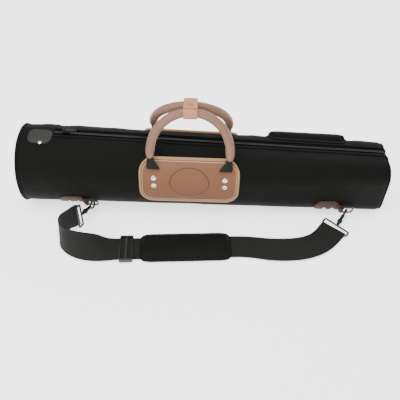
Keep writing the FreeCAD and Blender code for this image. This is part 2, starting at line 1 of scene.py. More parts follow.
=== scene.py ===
import json
import math
import bpy
import bmesh
from mathutils import Matrix, Vector, noise
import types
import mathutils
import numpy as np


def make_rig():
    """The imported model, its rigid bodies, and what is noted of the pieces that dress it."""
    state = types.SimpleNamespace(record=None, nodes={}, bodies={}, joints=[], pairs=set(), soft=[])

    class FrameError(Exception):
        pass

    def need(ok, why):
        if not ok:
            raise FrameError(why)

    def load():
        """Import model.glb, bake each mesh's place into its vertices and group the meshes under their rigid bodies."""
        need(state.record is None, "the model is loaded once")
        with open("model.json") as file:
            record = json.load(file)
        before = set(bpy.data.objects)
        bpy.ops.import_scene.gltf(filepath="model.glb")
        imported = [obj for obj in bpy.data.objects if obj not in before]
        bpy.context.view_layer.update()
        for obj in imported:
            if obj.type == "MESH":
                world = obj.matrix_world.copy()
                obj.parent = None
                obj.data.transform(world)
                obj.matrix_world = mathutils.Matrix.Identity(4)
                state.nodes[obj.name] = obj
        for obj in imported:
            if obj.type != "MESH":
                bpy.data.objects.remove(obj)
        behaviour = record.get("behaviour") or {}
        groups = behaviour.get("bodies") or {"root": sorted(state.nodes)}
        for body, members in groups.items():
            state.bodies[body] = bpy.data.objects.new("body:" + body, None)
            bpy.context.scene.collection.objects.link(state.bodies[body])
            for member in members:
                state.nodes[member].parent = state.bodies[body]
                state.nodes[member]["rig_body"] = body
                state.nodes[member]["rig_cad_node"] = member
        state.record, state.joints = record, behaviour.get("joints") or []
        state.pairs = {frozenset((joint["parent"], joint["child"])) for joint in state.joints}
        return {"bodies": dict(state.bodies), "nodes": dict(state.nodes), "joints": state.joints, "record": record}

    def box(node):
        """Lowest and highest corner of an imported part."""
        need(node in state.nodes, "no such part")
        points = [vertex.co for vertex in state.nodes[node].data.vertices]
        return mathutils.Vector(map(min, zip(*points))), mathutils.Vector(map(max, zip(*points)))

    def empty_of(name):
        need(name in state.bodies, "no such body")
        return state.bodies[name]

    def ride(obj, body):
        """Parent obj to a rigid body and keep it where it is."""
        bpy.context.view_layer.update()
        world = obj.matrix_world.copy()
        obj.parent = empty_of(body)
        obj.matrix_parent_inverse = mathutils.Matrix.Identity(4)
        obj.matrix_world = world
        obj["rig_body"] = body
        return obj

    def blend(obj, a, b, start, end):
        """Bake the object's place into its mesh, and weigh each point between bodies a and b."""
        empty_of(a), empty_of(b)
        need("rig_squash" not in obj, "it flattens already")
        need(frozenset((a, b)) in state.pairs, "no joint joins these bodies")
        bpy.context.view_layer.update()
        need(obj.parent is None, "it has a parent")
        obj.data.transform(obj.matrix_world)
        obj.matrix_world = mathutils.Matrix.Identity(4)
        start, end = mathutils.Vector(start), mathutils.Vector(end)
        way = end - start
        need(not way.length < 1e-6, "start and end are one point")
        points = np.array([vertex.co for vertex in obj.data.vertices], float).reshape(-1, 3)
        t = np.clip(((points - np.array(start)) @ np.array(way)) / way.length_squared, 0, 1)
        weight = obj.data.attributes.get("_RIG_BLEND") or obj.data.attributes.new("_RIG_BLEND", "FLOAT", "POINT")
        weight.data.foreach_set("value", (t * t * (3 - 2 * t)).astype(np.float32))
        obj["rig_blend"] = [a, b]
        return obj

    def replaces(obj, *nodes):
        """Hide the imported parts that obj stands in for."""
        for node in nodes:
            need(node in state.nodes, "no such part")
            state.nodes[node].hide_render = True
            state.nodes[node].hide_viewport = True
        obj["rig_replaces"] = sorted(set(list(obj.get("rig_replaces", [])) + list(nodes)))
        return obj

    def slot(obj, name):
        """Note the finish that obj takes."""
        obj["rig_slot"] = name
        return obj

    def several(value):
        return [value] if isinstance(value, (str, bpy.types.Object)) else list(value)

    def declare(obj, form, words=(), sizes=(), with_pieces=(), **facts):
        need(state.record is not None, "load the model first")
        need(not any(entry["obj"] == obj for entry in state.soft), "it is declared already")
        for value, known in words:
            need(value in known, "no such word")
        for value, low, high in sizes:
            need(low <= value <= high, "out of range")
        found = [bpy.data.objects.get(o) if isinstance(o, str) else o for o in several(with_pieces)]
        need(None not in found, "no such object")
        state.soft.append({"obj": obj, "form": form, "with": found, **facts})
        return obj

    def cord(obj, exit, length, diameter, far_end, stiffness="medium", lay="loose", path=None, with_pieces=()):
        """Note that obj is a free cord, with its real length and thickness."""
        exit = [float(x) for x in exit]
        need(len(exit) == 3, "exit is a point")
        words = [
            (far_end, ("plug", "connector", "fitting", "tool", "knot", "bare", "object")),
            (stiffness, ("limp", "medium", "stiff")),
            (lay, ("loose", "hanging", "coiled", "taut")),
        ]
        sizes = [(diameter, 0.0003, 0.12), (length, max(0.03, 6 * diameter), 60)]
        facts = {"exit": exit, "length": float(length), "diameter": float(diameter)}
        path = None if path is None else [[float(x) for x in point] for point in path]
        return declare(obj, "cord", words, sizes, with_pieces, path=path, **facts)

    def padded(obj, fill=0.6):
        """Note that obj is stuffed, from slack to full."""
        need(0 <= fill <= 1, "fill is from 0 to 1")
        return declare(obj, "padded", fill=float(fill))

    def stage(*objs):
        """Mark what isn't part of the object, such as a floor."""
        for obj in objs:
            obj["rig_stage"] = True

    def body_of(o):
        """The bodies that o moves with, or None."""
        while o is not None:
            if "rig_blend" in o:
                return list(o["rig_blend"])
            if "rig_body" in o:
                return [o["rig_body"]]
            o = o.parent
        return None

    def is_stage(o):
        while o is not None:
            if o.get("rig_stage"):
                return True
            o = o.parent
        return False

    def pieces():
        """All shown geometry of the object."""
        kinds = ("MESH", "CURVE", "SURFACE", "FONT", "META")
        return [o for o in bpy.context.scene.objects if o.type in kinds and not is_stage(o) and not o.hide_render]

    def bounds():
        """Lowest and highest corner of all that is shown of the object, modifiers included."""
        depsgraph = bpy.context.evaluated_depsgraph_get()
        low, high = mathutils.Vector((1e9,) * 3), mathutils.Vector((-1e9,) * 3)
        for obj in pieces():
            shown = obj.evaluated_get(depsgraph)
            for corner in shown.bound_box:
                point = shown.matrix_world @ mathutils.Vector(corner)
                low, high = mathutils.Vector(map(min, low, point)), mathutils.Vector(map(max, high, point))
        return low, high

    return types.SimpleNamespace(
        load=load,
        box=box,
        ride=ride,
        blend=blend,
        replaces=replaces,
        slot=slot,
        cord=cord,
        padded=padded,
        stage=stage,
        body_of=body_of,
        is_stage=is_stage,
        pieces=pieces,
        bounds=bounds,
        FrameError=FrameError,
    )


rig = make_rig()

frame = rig.load()
cad_low, cad_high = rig.bounds()

# --- studio ---
# A seamless sheet of opal acrylic, faintly lit from below, lit by large soft boxes above, in front and behind.
# The camera stands in front and looks down at the case, turned a little on its own axis.
case_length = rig.box("square_end_front_panel")[1].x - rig.box("round_end_panel")[0].x
aim = Vector((-0.0073, -0.0439, 0.0201))
camera_distance = 1.041
camera_elevation = math.radians(45)
camera_roll = math.radians(1.4)
camera_field = math.radians(41.6)

camera = bpy.data.objects.new("camera", bpy.data.cameras.new("camera"))
camera.data.angle = camera_field
back = Vector((0, -math.cos(camera_elevation), math.sin(camera_elevation)))
look = back.to_track_quat("Z", "Y").to_matrix().to_4x4()
camera.matrix_world = Matrix.Translation(aim + back * camera_distance) @ look @ Matrix.Rotation(camera_roll, 4, "Z")
bpy.context.scene.collection.objects.link(camera)
bpy.context.scene.camera = camera


def colour(code):
    """An sRGB hex colour, turned to linear."""
    parts = [int(code[i:i + 2], 16) / 255 for i in (0, 2, 4)]
    return (*[c / 12.92 if c <= 0.04045 else ((c + 0.055) / 1.055) ** 2.4 for c in parts], 1.0)


def add(tree, kind, sockets=None, **settings):
    """A new node with its settings; each socket takes a number, a colour or another node's output."""
    made = tree.nodes.new("ShaderNode" + kind)
    for name, value in settings.items():
        setattr(made, name, value)
    for name, value in (sockets or {}).items():
        if isinstance(value, bpy.types.NodeSocket):
            tree.links.new(value, made.inputs[name])
        else:
            made.inputs[name].default_value = value
    return made


def finish(name):
    """An empty material of that name, ready for its nodes."""
    made = bpy.data.materials.new(name)
    made.use_nodes = True
    made.node_tree.nodes.clear()
    return made, made.node_tree


paper, tree = finish("opal_acrylic_lightbox")
shader = add(tree, "BsdfPrincipled", {"Base Color": colour("FAFAF9"), "Roughness": 0.9, "Specular IOR Level": 0.1,
                                      "Emission Color": colour("FFFFFF"), "Emission Strength": 1.5})
add(tree, "OutputMaterial", {"Surface": shader.outputs[0]})
bm = bmesh.new()
bmesh.ops.create_grid(bm, x_segments=1, y_segments=1, size=12 * case_length)
floor = bpy.data.objects.new("floor", bpy.data.meshes.new("floor"))
bm.to_mesh(floor.data)
bm.free()
floor.data.materials.append(paper)
floor.location.z = -0.0004
bpy.context.scene.collection.objects.link(floor)
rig.stage(floor)

world = bpy.data.worlds.new("studio")
bpy.context.scene.world = world
world.use_nodes = True
world.node_tree.nodes["Background"].inputs["Color"].default_value = colour("FFFFFF")
world.node_tree.nodes["Background"].inputs["Strength"].default_value = 1.05
# each lamp: its place, its width, and its power in watts
for name, place, width, power in [("overhead", (-0.3, -0.5, 1.9), 1.6, 46),
                                  ("front_left", (-1.3, -1.7, 1.2), 1.0, 14),
                                  ("rim", (0.7, 1.5, 1.3), 1.2, 16)]:
    lamp = bpy.data.objects.new(name, bpy.data.lights.new(name, "AREA"))
    lamp.data.size = width
    lamp.data.energy = power
    lamp.location = place
    lamp.rotation_euler = (Vector((0, 0, 0.07)) - Vector(place)).to_track_quat("-Z", "Y").to_euler()
    bpy.context.scene.collection.objects.link(lamp)

# --- shoulder strap webbing ---
# Flat black polypropylene webbing, 50 mm wide and 2.4 mm thick, woven with a rib across it.
# One length leaves each snap hook and lies on the ground, and the two lap inside the pad.
webbing_width = 0.050
webbing_thick = 0.0024
strap_lift = 0.0026
strap_slope = math.radians(3.4)
pad_place = Vector((-0.032, -0.153, 0))
strap_way = Vector((math.cos(strap_slope), math.sin(strap_slope), 0))
lap = 0.020                # each length runs this far past the pad's middle


def on_run(x):
    return (x, pad_place.y + (x - pad_place.x) * math.tan(strap_slope), 0)


# each point is x, y and the webbing's tilt from flat in degrees; the edge towards the case is raised
left_route = [
    (-0.2486, -0.1080, 90), (-0.258, -0.116, 90), (-0.265, -0.127, 88), (-0.265, -0.142, 84),
    (-0.257, -0.156, 76), (-0.241, -0.166, 64), (-0.219, -0.171, 50), (-0.196, -0.169, 32),
    (-0.176, -0.164, 8), on_run(-0.162), on_run(-0.134), on_run(-0.096), on_run(-0.064), on_run(pad_place.x + lap)]
right_route = [
    (0.2425, -0.1080, 0), (0.229, -0.125, 0), (0.209, -0.140, 2), (0.184, -0.150, 4), (0.156, -0.154, 5),
    (0.126, -0.154, 4), (0.098, -0.149, 1), on_run(0.070), on_run(0.036), on_run(0.0), on_run(pad_place.x - lap)]


def loft(rows, closed=False, ends=False):
    """A surface through rows of points, each extruded from the one before, with its UV map in metres."""
    bm = bmesh.new()
    near = [bm.verts.new(p) for p in rows[0]]
    place = {v: (0, i) for i, v in enumerate(near)}
    count = len(near)
    edges = [bm.edges.new((near[i], near[(i + 1) % count])) for i in range(count if closed else count - 1)]
    first = list(near)
    for n, row in enumerate(rows[1:], 1):
        made = bmesh.ops.extrude_edge_only(bm, edges=edges)["geom"]
        fresh = [v for v in made if isinstance(v, bmesh.types.BMVert)]
        edges = [e for e in made if isinstance(e, bmesh.types.BMEdge) and all(v in fresh for v in e.verts)]
        before = {v: i for i, v in enumerate(near)}
        for v in fresh:
            i = next(before[e.other_vert(v)] for e in v.link_edges if e.other_vert(v) in before)
            place[v] = (n, i)
            near[i] = v
            v.co = row[i]
    uv = bm.loops.layers.uv.new("cloth")
    along = [0.0]
    for a, b in zip(rows, rows[1:]):
        along.append(along[-1] + sum((p - q).length for p, q in zip(a, b)) / len(a))
    across = []
    for row in rows:
        run = [0.0]
        for a, b in zip(row, row[1:] + row[:1]):
            run.append(run[-1] + (a - b).length)
        across.append(run)
    for face in bm.faces:
        wraps = closed and {0, count - 1} <= {place[c.vert][1] for c in face.loops}
        for corner in face.loops:
            n, i = place[corner.vert]
            corner[uv].uv = (along[n], across[n][count if wraps and i == 0 else i])
    if ends:
        for ring in (first, near):
            bm.faces.new(ring)
    return bm


def piece(name, bm, skin, body=None, wall=0.0, round_off=0.0, sharp=40, smooth=0, slot=None, stands_for=()):
    """The bmesh as a finished mesh object in its material, on its body."""
    bmesh.ops.recalc_face_normals(bm, faces=bm.faces)
    for face in bm.faces:
        face.smooth = True
    made = bpy.data.objects.new(name, bpy.data.meshes.new(name))
    bm.to_mesh(made.data)
    bm.free()
    bpy.context.scene.collection.objects.link(made)
    made.data.materials.append(skin)
    if wall:
        solid = made.modifiers.new("wall", "SOLIDIFY")
        solid.thickness, solid.offset = wall, -1
    if round_off:
        bevel = made.modifiers.new("round_off", "BEVEL")
        bevel.width, bevel.segments, bevel.angle_limit = round_off, 2, math.radians(sharp)
    if smooth:
        divide = made.modifiers.new("smooth", "SUBSURF")
        divide.levels = divide.render_levels = smooth
    if made.modifiers:
        seen = made.evaluated_get(bpy.context.evaluated_depsgraph_get())
        whole = bpy.data.meshes.new_from_object(seen)
        made.modifiers.clear()
        made.data = whole
    made.data.set_sharp_from_angle(angle=math.radians(sharp))
    if body:
        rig.ride(made, body)
    if slot:
        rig.slot(made, slot)
    if stands_for:
        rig.replaces(made, *stands_for)
    return made


def spline_points(places):
    """The points of a NURBS curve that has these control points."""
    curve = bpy.data.curves.new("route", "CURVE")
    curve.dimensions = "3D"
    curve.resolution_u = 16
    spline = curve.splines.new("NURBS")
    spline.points.add(len(places) - 1)
    for point, place in zip(spline.points, places):
        point.co = (*place, 1)
    spline.order_u = 3
    spline.use_endpoint_u = True
    holder = bpy.data.objects.new("route", curve)
    mesh = bpy.data.meshes.new_from_object(holder)
    found = [v.co.copy() for v in mesh.vertices]
    bpy.data.objects.remove(holder)
    bpy.data.curves.remove(curve)
    bpy.data.meshes.remove(mesh)
    return found


def strap_lines(route):
    """The webbing's middle line and its raised edge line, from its route."""
    middle, raised = [], []
    for n, (x, y, tilt) in enumerate(route):
        before, after = route[max(n - 1, 0)], route[min(n + 1, len(route) - 1)]
        way = Vector((after[0] - before[0], after[1] - before[1], 0)).normalized()
        side = Vector((-way.y, way.x, 0))
        if side.dot(Vector((0, 0.2, 0)) - Vector((x, y, 0))) < 0:
            side = -side
        turn = math.radians(tilt)
        high = webbing_width / 2 * math.sin(turn) + webbing_thick / 2 * math.cos(turn) + strap_lift
        at = Vector((x, y, max(high, strap_lift + webbing_thick / 2)))
        middle.append(at)
        raised.append(at + (side * math.cos(turn) + Vector((0, 0, math.sin(turn)))) * webbing_width / 2)
    return spline_points(middle), spline_points(raised)


def ribbon(middle, edge, width, thick):
    """A flat woven band along a line, thicker at its two woven edges."""
    half, rows = width / 2, []
    profile = [(-1, 0.3), (-0.985, 0.9), (-0.95, 1), (-0.90, 0.8), (-0.4, 0.86), (0, 0.9), (0.4, 0.86),
               (0.90, 0.8), (0.95, 1), (0.985, 0.9), (1, 0.3)]
    profile += [(a, -b) for a, b in reversed(profile)]
    for n, at in enumerate(middle):
        way = (middle[min(n + 1, len(middle) - 1)] - middle[max(n - 1, 0)]).normalized()
        side = edge[n] - at
        side = (side - way * side.dot(way)).normalized()
        face = side.cross(way)
        rows.append([at + side * (half * a) + face * (thick / 2 * b) for a, b in profile])
    return loft(rows, closed=True, ends=True)


def bands(period):
    """The Wave texture's scale for bands of that period."""
    return math.pi / 10 / period


# Woven polypropylene: ribs across the tape, soft sheen on the crowns; threads of 0.9 mm drawn at 1.8 mm
woven_webbing, tree = finish("woven_polypropylene_webbing")
place = add(tree, "UVMap", uv_map="cloth").outputs[0]
rib = add(tree, "TexWave", {"Vector": place, "Scale": bands(0.0018), "Distortion": 0.4, "Detail": 1.0},
          bands_direction="X")
warp = add(tree, "TexWave", {"Vector": place, "Scale": bands(0.0026)}, bands_direction="Y")
knit = add(tree, "Math", {0: rib.outputs["Fac"], 1: warp.outputs["Fac"]}, operation="MULTIPLY")
fade = add(tree, "TexNoise", {"Vector": place, "Scale": 45.0, "Detail": 4.0})
tone = add(tree, "MixRGB", {"Fac": fade.outputs["Fac"], "Color1": colour("090A07"), "Color2": colour("121310")})
lit = add(tree, "MixRGB", {"Fac": knit.outputs[0], "Color1": tone.outputs[0], "Color2": colour("191A16")})
bump = add(tree, "Bump", {"Height": knit.outputs[0], "Strength": 0.55, "Distance": 0.0006})
shader = add(tree, "BsdfPrincipled", {"Base Color": lit.outputs[0], "Roughness": 0.78, "Normal": bump.outputs[0],
                                      "Specular IOR Level": 0.25, "Sheen Weight": 0.03, "Sheen Roughness": 0.45})
add(tree, "OutputMaterial", {"Surface": shader.outputs[0]})

strap_ends = {}
for side, route, length, still in [("left", left_route, 0.302, (0.030, -0.045, 0)),
                                   ("right", right_route, 0.310, (-0.040, -0.035, 0))]:
    middle, edge = strap_lines(route)
    body = side + "_snap_hook"
    made = piece(side + "_strap", ribbon(middle, edge, webbing_width, webbing_thick), woven_webbing,
                 slot="webbing", stands_for=[side + "_strap_webbing"])
    strap_ends[side] = (middle[0], (middle[1] - middle[0]).normalized(), (edge[0] - middle[0]).normalized())
    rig.blend(made, "base", body, start=middle[0] + Vector(still), end=middle[0])
    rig.cord(made, exit=middle[0], length=length, diameter=webbing_width, far_end="object",
            stiffness="limp", lay="loose", path=middle)

# --- the case's padded cloth ---
# Black oxford nylon over foam, sewn into a tube that tapers from the round end to the squared end.
# The lid is the back half of the top, cut along the zip, and folds on a seam along the back.
left_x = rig.box("round_end_panel")[0].x
right_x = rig.box("square_end_front_panel")[1].x
lid_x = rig.box("front_shell")[0].x
round_half = (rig.box("round_end_panel")[1].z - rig.box("round_end_panel")[0].z) / 2
square_half = 0.056
round_corner = 0.069
square_corner = 0.030
wall = 0.0082
hinge_z = frame["joints"][0]["pos_m"][2]
front_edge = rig.box("front_piping")[0].y + 0.0012
back_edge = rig.box("back_piping")[1].y - 0.0012
square_round = 0.012       # the soft rounding at the squared end's seam
round_round = 0.007
plate_x = -0.028
plate_angle = 18.0


def half(x):
    return round_half + (square_half - round_half) * (x - left_x) / (right_x - left_x)


def corner(x):
    return round_corner + (square_corner - round_corner) * (x - left_x) / (right_x - left_x)


def reach(x, angle, lift=0.0):
    """The point lift above the cloth that is seen at that angle above the front, and the normal there."""
    a = math.radians(angle)
    c, s = math.cos(a), math.sin(a)
    size, radius = half(x), corner(x)
    k = size - radius
    big, small = max(abs(c), abs(s)), min(abs(c), abs(s))
    far = size / big
    if far * small > k:
        far = k * (big + small) + math.sqrt((k * (big + small)) ** 2 - 2 * k * k + radius * radius)
    y, z = far * c, far * s
    out = Vector((0, -math.copysign(max(abs(y) - k, 0.0), y), math.copysign(max(abs(z) - k, 0.0), z)))
    if out.length < 1e-9:
        out = Vector((0, -c, s))
    out.normalize()
    return Vector((x, -y, size + z)) + out * lift, out


def on_case(x0, angle0):
    """Lays a flat drawing on the cloth round the spot at x0 and that angle: across, up and off the cloth."""
    def laid(p):
        low, high = angle0 - 85, angle0 + 85
        for _ in range(26):
            middle = (low + high) / 2
            spot = reach(x0 + p.x, middle)[0]
            far = math.hypot(spot.y, spot.z - half(x0 + p.x))
            if far * math.sin(math.radians(middle - angle0)) < p.y:
                low = middle
            else:
                high = middle
        return reach(x0 + p.x, low, p.z)[0]
    return laid


def top_angle(x, y):
    """The angle at which the top of the case has that y."""
    k = half(x) - corner(x)
    up = half(x) if abs(y) <= k else k + math.sqrt(corner(x) ** 2 - (abs(y) - k) ** 2)
    return math.degrees(math.atan2(up, -y))


def hinge_angle(x):
    """The angle, going down round the front and the bottom, of the hinge seam on the back."""
    down = half(x) - hinge_z
    k = half(x) - corner(x)
    out = half(x) if down <= k else k + math.sqrt(corner(x) ** 2 - (down - k) ** 2)
    return -180 + math.degrees(math.atan2(down, out))


# spots on the cloth that are sewn flat: x, angle, and half the length and height
sewn = [(plate_x, plate_angle, 0.094, 0.044), (plate_x, 180 - plate_angle, 0.094, 0.044),
        (-0.238, -33, 0.046, 0.026), (0.256, -33, 0.046, 0.026), (0.199, 138, 0.080, 0.030),
        (-0.308, 84, 0.024, 0.020)]


def swell(x, angle):
    """How far the padding stands proud of its seams, with the soft folds of the cloth."""
    turn = (angle + 180) % 360 - 180
    free = 1.0
    for sx, sa, long, tall in sewn:
        away = abs((turn - sa + 180) % 360 - 180)
        gap = max(abs(x - sx) - long, math.radians(away) * half(x) - tall)
        free = min(free, max(0.0, min(1.0, gap / 0.030)))
    ends = max(0.0, min(1.0, (x - left_x - 0.006) / 0.04, (right_x - 0.014 - x) / 0.04))
    top = max(0.0, min(1.0, abs(abs(turn) - 88) / 14))
    under = 0.0 if -125 < turn < -55 else min(1.0, min(abs(turn + 125), abs(turn + 55)) / 30)
    seat = max(0.0, min(1.0, abs(turn - (hinge_angle(x) + 360)) / 8)) if turn > 90 or turn < -125 else 1.0
    folds = 0.9 * noise.noise(Vector((x * 11, angle * 0.016, 3.1)))
    folds += 0.75 * noise.noise(Vector((x * 34 + angle * 0.012, angle * 0.009, 8.4)))
    folds += 0.35 * noise.noise(Vector((x * 75, angle * 0.05, 1.6)))
    return 0.0017 * free * ends * top * under * seat * (0.55 + folds)


def stations(start, end, step):
    count = max(2, round((end - start) / step))
    return [start + (end - start) * n / count for n in range(count + 1)]


def cloth_row(x, inset, start, end, count, shrink=True):
    """One row of cloth from the angle start to end, drawn in by inset, at x."""
    row = []
    for n in range(count + 1):
        angle = start + (end - start) * n / count
        row.append(reach(x, angle, swell(x, angle) - inset if shrink else -inset)[0])
    return row


def closing_rows(row, goals, rings):
    """Rows across an end panel, from the last row to its goals, slightly domed."""
    made = []
    for n in range(1, rings + 1):
        share = n / rings
        bulge = 0.0012 * math.sin(math.pi * share)
        made.append([p.lerp(q, share) + Vector((math.copysign(bulge * min(1.0, (q - p).length / 0.04), p.x), 0, 0))
                     for p, q in zip(row, goals)])
    return made


def merged(bm):
    """The surface with its collapsed corners joined into one point each."""
    bmesh.ops.remove_doubles(bm, verts=bm.verts, dist=5e-5)
    bmesh.ops.dissolve_degenerate(bm, edges=bm.edges, dist=1e-5)
    return bm


def rounding(x, radius, way, steps=6):
    """x and inset round a soft edge that ends at x."""
    turns = [math.pi / 2 * n / steps for n in range(1, steps + 1)]
    return [(x - way * radius * (1 - math.sin(t)), radius * (1 - math.cos(t))) for t in turns]


# Oxford nylon: a plain weave with a faint grey sheen; threads of 0.5 mm drawn at 1.7 mm
def oxford(name, low, high, period, sheen):
    made, tree = finish(name)
    place = add(tree, "UVMap", uv_map="cloth").outputs[0]
    warp = add(tree, "TexWave", {"Vector": place, "Scale": bands(period), "Distortion": 0.6, "Detail": 1.0},
               bands_direction="X")
    weft = add(tree, "TexWave", {"Vector": place, "Scale": bands(period), "Distortion": 0.6, "Detail": 1.0},
               bands_direction="Y")
    weave = add(tree, "Math", {0: warp.outputs["Fac"], 1: weft.outputs["Fac"]}, operation="MULTIPLY")
    wear = add(tree, "TexNoise", {"Vector": place, "Scale": 26.0, "Detail": 6.0, "Roughness": 0.6})
    tone = add(tree, "MixRGB", {"Fac": wear.outputs["Fac"], "Color1": colour(low), "Color2": colour(high)})
    rough = add(tree, "MapRange", {"Value": wear.outputs["Fac"], "To Min": 0.62, "To Max": 0.80})
    bump = add(tree, "Bump", {"Height": weave.outputs[0], "Strength": 0.35, "Distance": 0.0004})
    shader = add(tree, "BsdfPrincipled", {"Base Color": tone.outputs[0], "Roughness": rough.outputs[0],
                                          "Normal": bump.outputs[0], "Specular IOR Level": 0.09,
                                          "Sheen Weight": sheen, "Sheen Roughness": 0.4})
    add(tree, "OutputMaterial", {"Surface": shader.outputs[0]})
    return made


case_cloth = oxford("woven_oxford_nylon", "060705", "0B0C0A", 0.0017, 0.01)
count = 120
rows = [cloth_row(x, i, top_angle(x, front_edge), hinge_angle(x), count)
        for x, i in [(x, 0.0) for x in stations(lid_x, right_x - square_round, 0.006)]]
rows += [cloth_row(x, i, top_angle(x, front_edge), hinge_angle(x), count, False)
         for x, i in rounding(right_x, square_round, 1)]
last = rows[-1]
def corner_goal(p):
    """Where that point of the base's end panel's edge is drawn to: the zip line or the hinge line."""
    return Vector((p.x, max(p.y, front_edge), max(p.z, hinge_z)))


goals = [corner_goal(p) for p in last]
rows += closing_rows(last, goals, 6)
base_cloth = merged(loft(rows))
piece("base_cloth", base_cloth, case_cloth, "base", wall=wall, sharp=50, slot="padded_nylon",
      stands_for=["front_shell", "square_end_front_panel"])

# the collar beside the round end, with the round end's panel sewn into it
rows = [[p for p in cloth_row(x, i, 90, -270, 144, i == 0)[:-1]]
        for x, i in reversed([(x, 0.0) for x in stations(left_x + round_round, lid_x, 0.006)][:-1] + [(lid_x, 0.0)])]
rows += [cloth_row(x, i, 90, -270, 144, False)[:-1] for x, i in rounding(left_x, round_round, -1)]
centre = Vector((left_x, 0, half(left_x)))
rows += closing_rows(rows[-1], [centre.lerp(p, 0.04) for p in rows[-1]], 9)
collar = loft(rows, closed=True)
collar.faces.new([v for v in collar.verts if (v.co - rows[-1][0]).length < 0.2 * round_half and v.is_boundary])
piece("round_end_cloth", collar, case_cloth, "base", wall=wall, sharp=50, slot="padded_nylon",
      stands_for=["round_end_collar", "round_end_panel"])

# the lid, whose end beside the collar twists open like cloth
twist_from, twist_to = Vector((lid_x, 0, 0)), Vector((lid_x + 0.15, 0, 0))


def lid_piece(name, bm, skin, **rest):
    made = piece(name, bm, skin, **rest)
    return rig.blend(made, "base", "lid", start=twist_from, end=twist_to)


count = 60
lid_gap = 0.0005
rows = [cloth_row(x, 0.0, hinge_angle(x) + 360 - 0.4, top_angle(x, back_edge), count)
        for x in stations(lid_x + lid_gap, right_x - square_round, 0.006)]
rows += [cloth_row(x, i, hinge_angle(x) + 360 - 0.4, top_angle(x, back_edge), count, False)
         for x, i in rounding(right_x, square_round, 1)]
goals = [Vector((p.x, back_edge, max(p.z, hinge_z + lid_gap))) for p in rows[-1]]
rows += closing_rows(rows[-1], goals, 6)
lid_piece("lid_cloth", merged(loft(rows)), case_cloth, wall=wall, sharp=50, slot="padded_nylon",
          stands_for=["back_lid", "square_end_back_panel"])

# --- zip, piping and lining ---
# A nylon coil zip sewn between two cords of piping, from the collar, along the top and down the
# squared end. The lining is a brushed black cloth glued to the inside of the foam.
zip_line = 0.006
piping_radius = 0.0019


def zip_path(y, start, step=0.006):
    """Along the top at that y, over the soft corner and down the squared end: each point and the way out."""
    found = [reach(x, top_angle(x, y)) for x in stations(start, right_x - square_round, step)]
    at, out = found[-1]
    ahead = Vector((1, 0, 0))
    turns = [math.pi / 2 * n / 10 for n in range(1, 11)]
    found += [(at - out * square_round + (out * math.cos(t) + ahead * math.sin(t)) * square_round,
               out * math.cos(t) + ahead * math.sin(t)) for t in turns]
    top = found[-1][0].z
    found += [(Vector((right_x, at.y, z)), ahead) for z in reversed(stations(hinge_z + 0.0008, top, step)[:-1])]
    return found


def sweep(path, profile, swelling=None, ends=True):
    """A section drawn across and out from each point of a path, swollen from row to row if asked."""
    rows = []
    for n, (at, out) in enumerate(path):
        way = (path[min(n + 1, len(path) - 1)][0] - path[max(n - 1, 0)][0]).normalized()
        out = (out - way * out.dot(way)).normalized()
        across = out.cross(way)
        scale = swelling(n) if swelling else 1.0
        rows.append([at + across * a * scale + out * b * scale for a, b in profile])
    return loft(rows, closed=True, ends=ends)


def circle(radius, rise=0.0, count=12):
    return [(radius * math.cos(math.tau * n / count), rise + radius * math.sin(math.tau * n / count))
            for n in range(count)]


def strip(width, thick, rise):
    """A flat strip's section, with its top at that rise."""
    half_width = width / 2
    return [(-half_width, rise - thick), (-half_width, rise - 0.3 * thick), (-0.9 * half_width, rise),
            (0, rise + 0.1 * thick), (0.9 * half_width, rise), (half_width, rise - 0.3 * thick),
            (half_width, rise - thick)]


piping_cloth = oxford("cord_piping_in_nylon", "080907", "11120F", 0.0009, 0.04)
tape_cloth = oxford("knitted_polyester_zip_tape", "060605", "0C0C0B", 0.0008, 0.02)
lining_cloth = oxford("brushed_polyester_lining", "131312", "1C1C1A", 0.0011, 0.10)
coil_nylon, tree = finish("moulded_nylon_zip_coil")
shader = add(tree, "BsdfPrincipled", {"Base Color": colour("111110"), "Roughness": 0.38})
add(tree, "OutputMaterial", {"Surface": shader.outputs[0]})

front_line, back_line = front_edge + 0.0001, back_edge - 0.0001
tape_middle = 0.0038
piece("front_piping_cord", sweep(zip_path(front_line, lid_x), circle(piping_radius, 0.0005)), piping_cloth,
      "base", slot="piping", stands_for=["front_piping"])
piece("front_tape", sweep(zip_path(-0.0002, lid_x), strip(2 * tape_middle, 0.0010, -0.0012)), tape_cloth,
      "base", slot="zip_tape", stands_for=["front_zip_tape"])
lid_piece("back_piping_cord", sweep(zip_path(back_line, lid_x + lid_gap), circle(piping_radius, 0.0005)),
          piping_cloth, slot="piping", stands_for=["back_piping"])
lid_piece("back_tape", sweep(zip_path(2 * zip_line + 0.0002, lid_x + lid_gap), strip(2 * tape_middle, 0.0010, -0.0012)),
          tape_cloth, slot="zip_tape", stands_for=["back_zip_tape"])
coil_turn = 0.0014


def ridge(n):
    return 1.0 if n % 2 else 0.74


coil_round = [(0.0011 * math.cos(math.tau * n / 8), 0.0002 + 0.0010 * math.sin(math.tau * n / 8)) for n in range(8)]
piece("front_coil", sweep(zip_path(zip_line - 0.0013, lid_x, coil_turn / 2), coil_round, ridge), coil_nylon,
      "base", slot="zip_coil", stands_for=["front_zip_coil"])
lid_piece("back_coil", sweep(zip_path(zip_line + 0.0013, lid_x + lid_gap, coil_turn / 2), coil_round, ridge),
          coil_nylon, slot="zip_coil", stands_for=["back_zip_coil"])

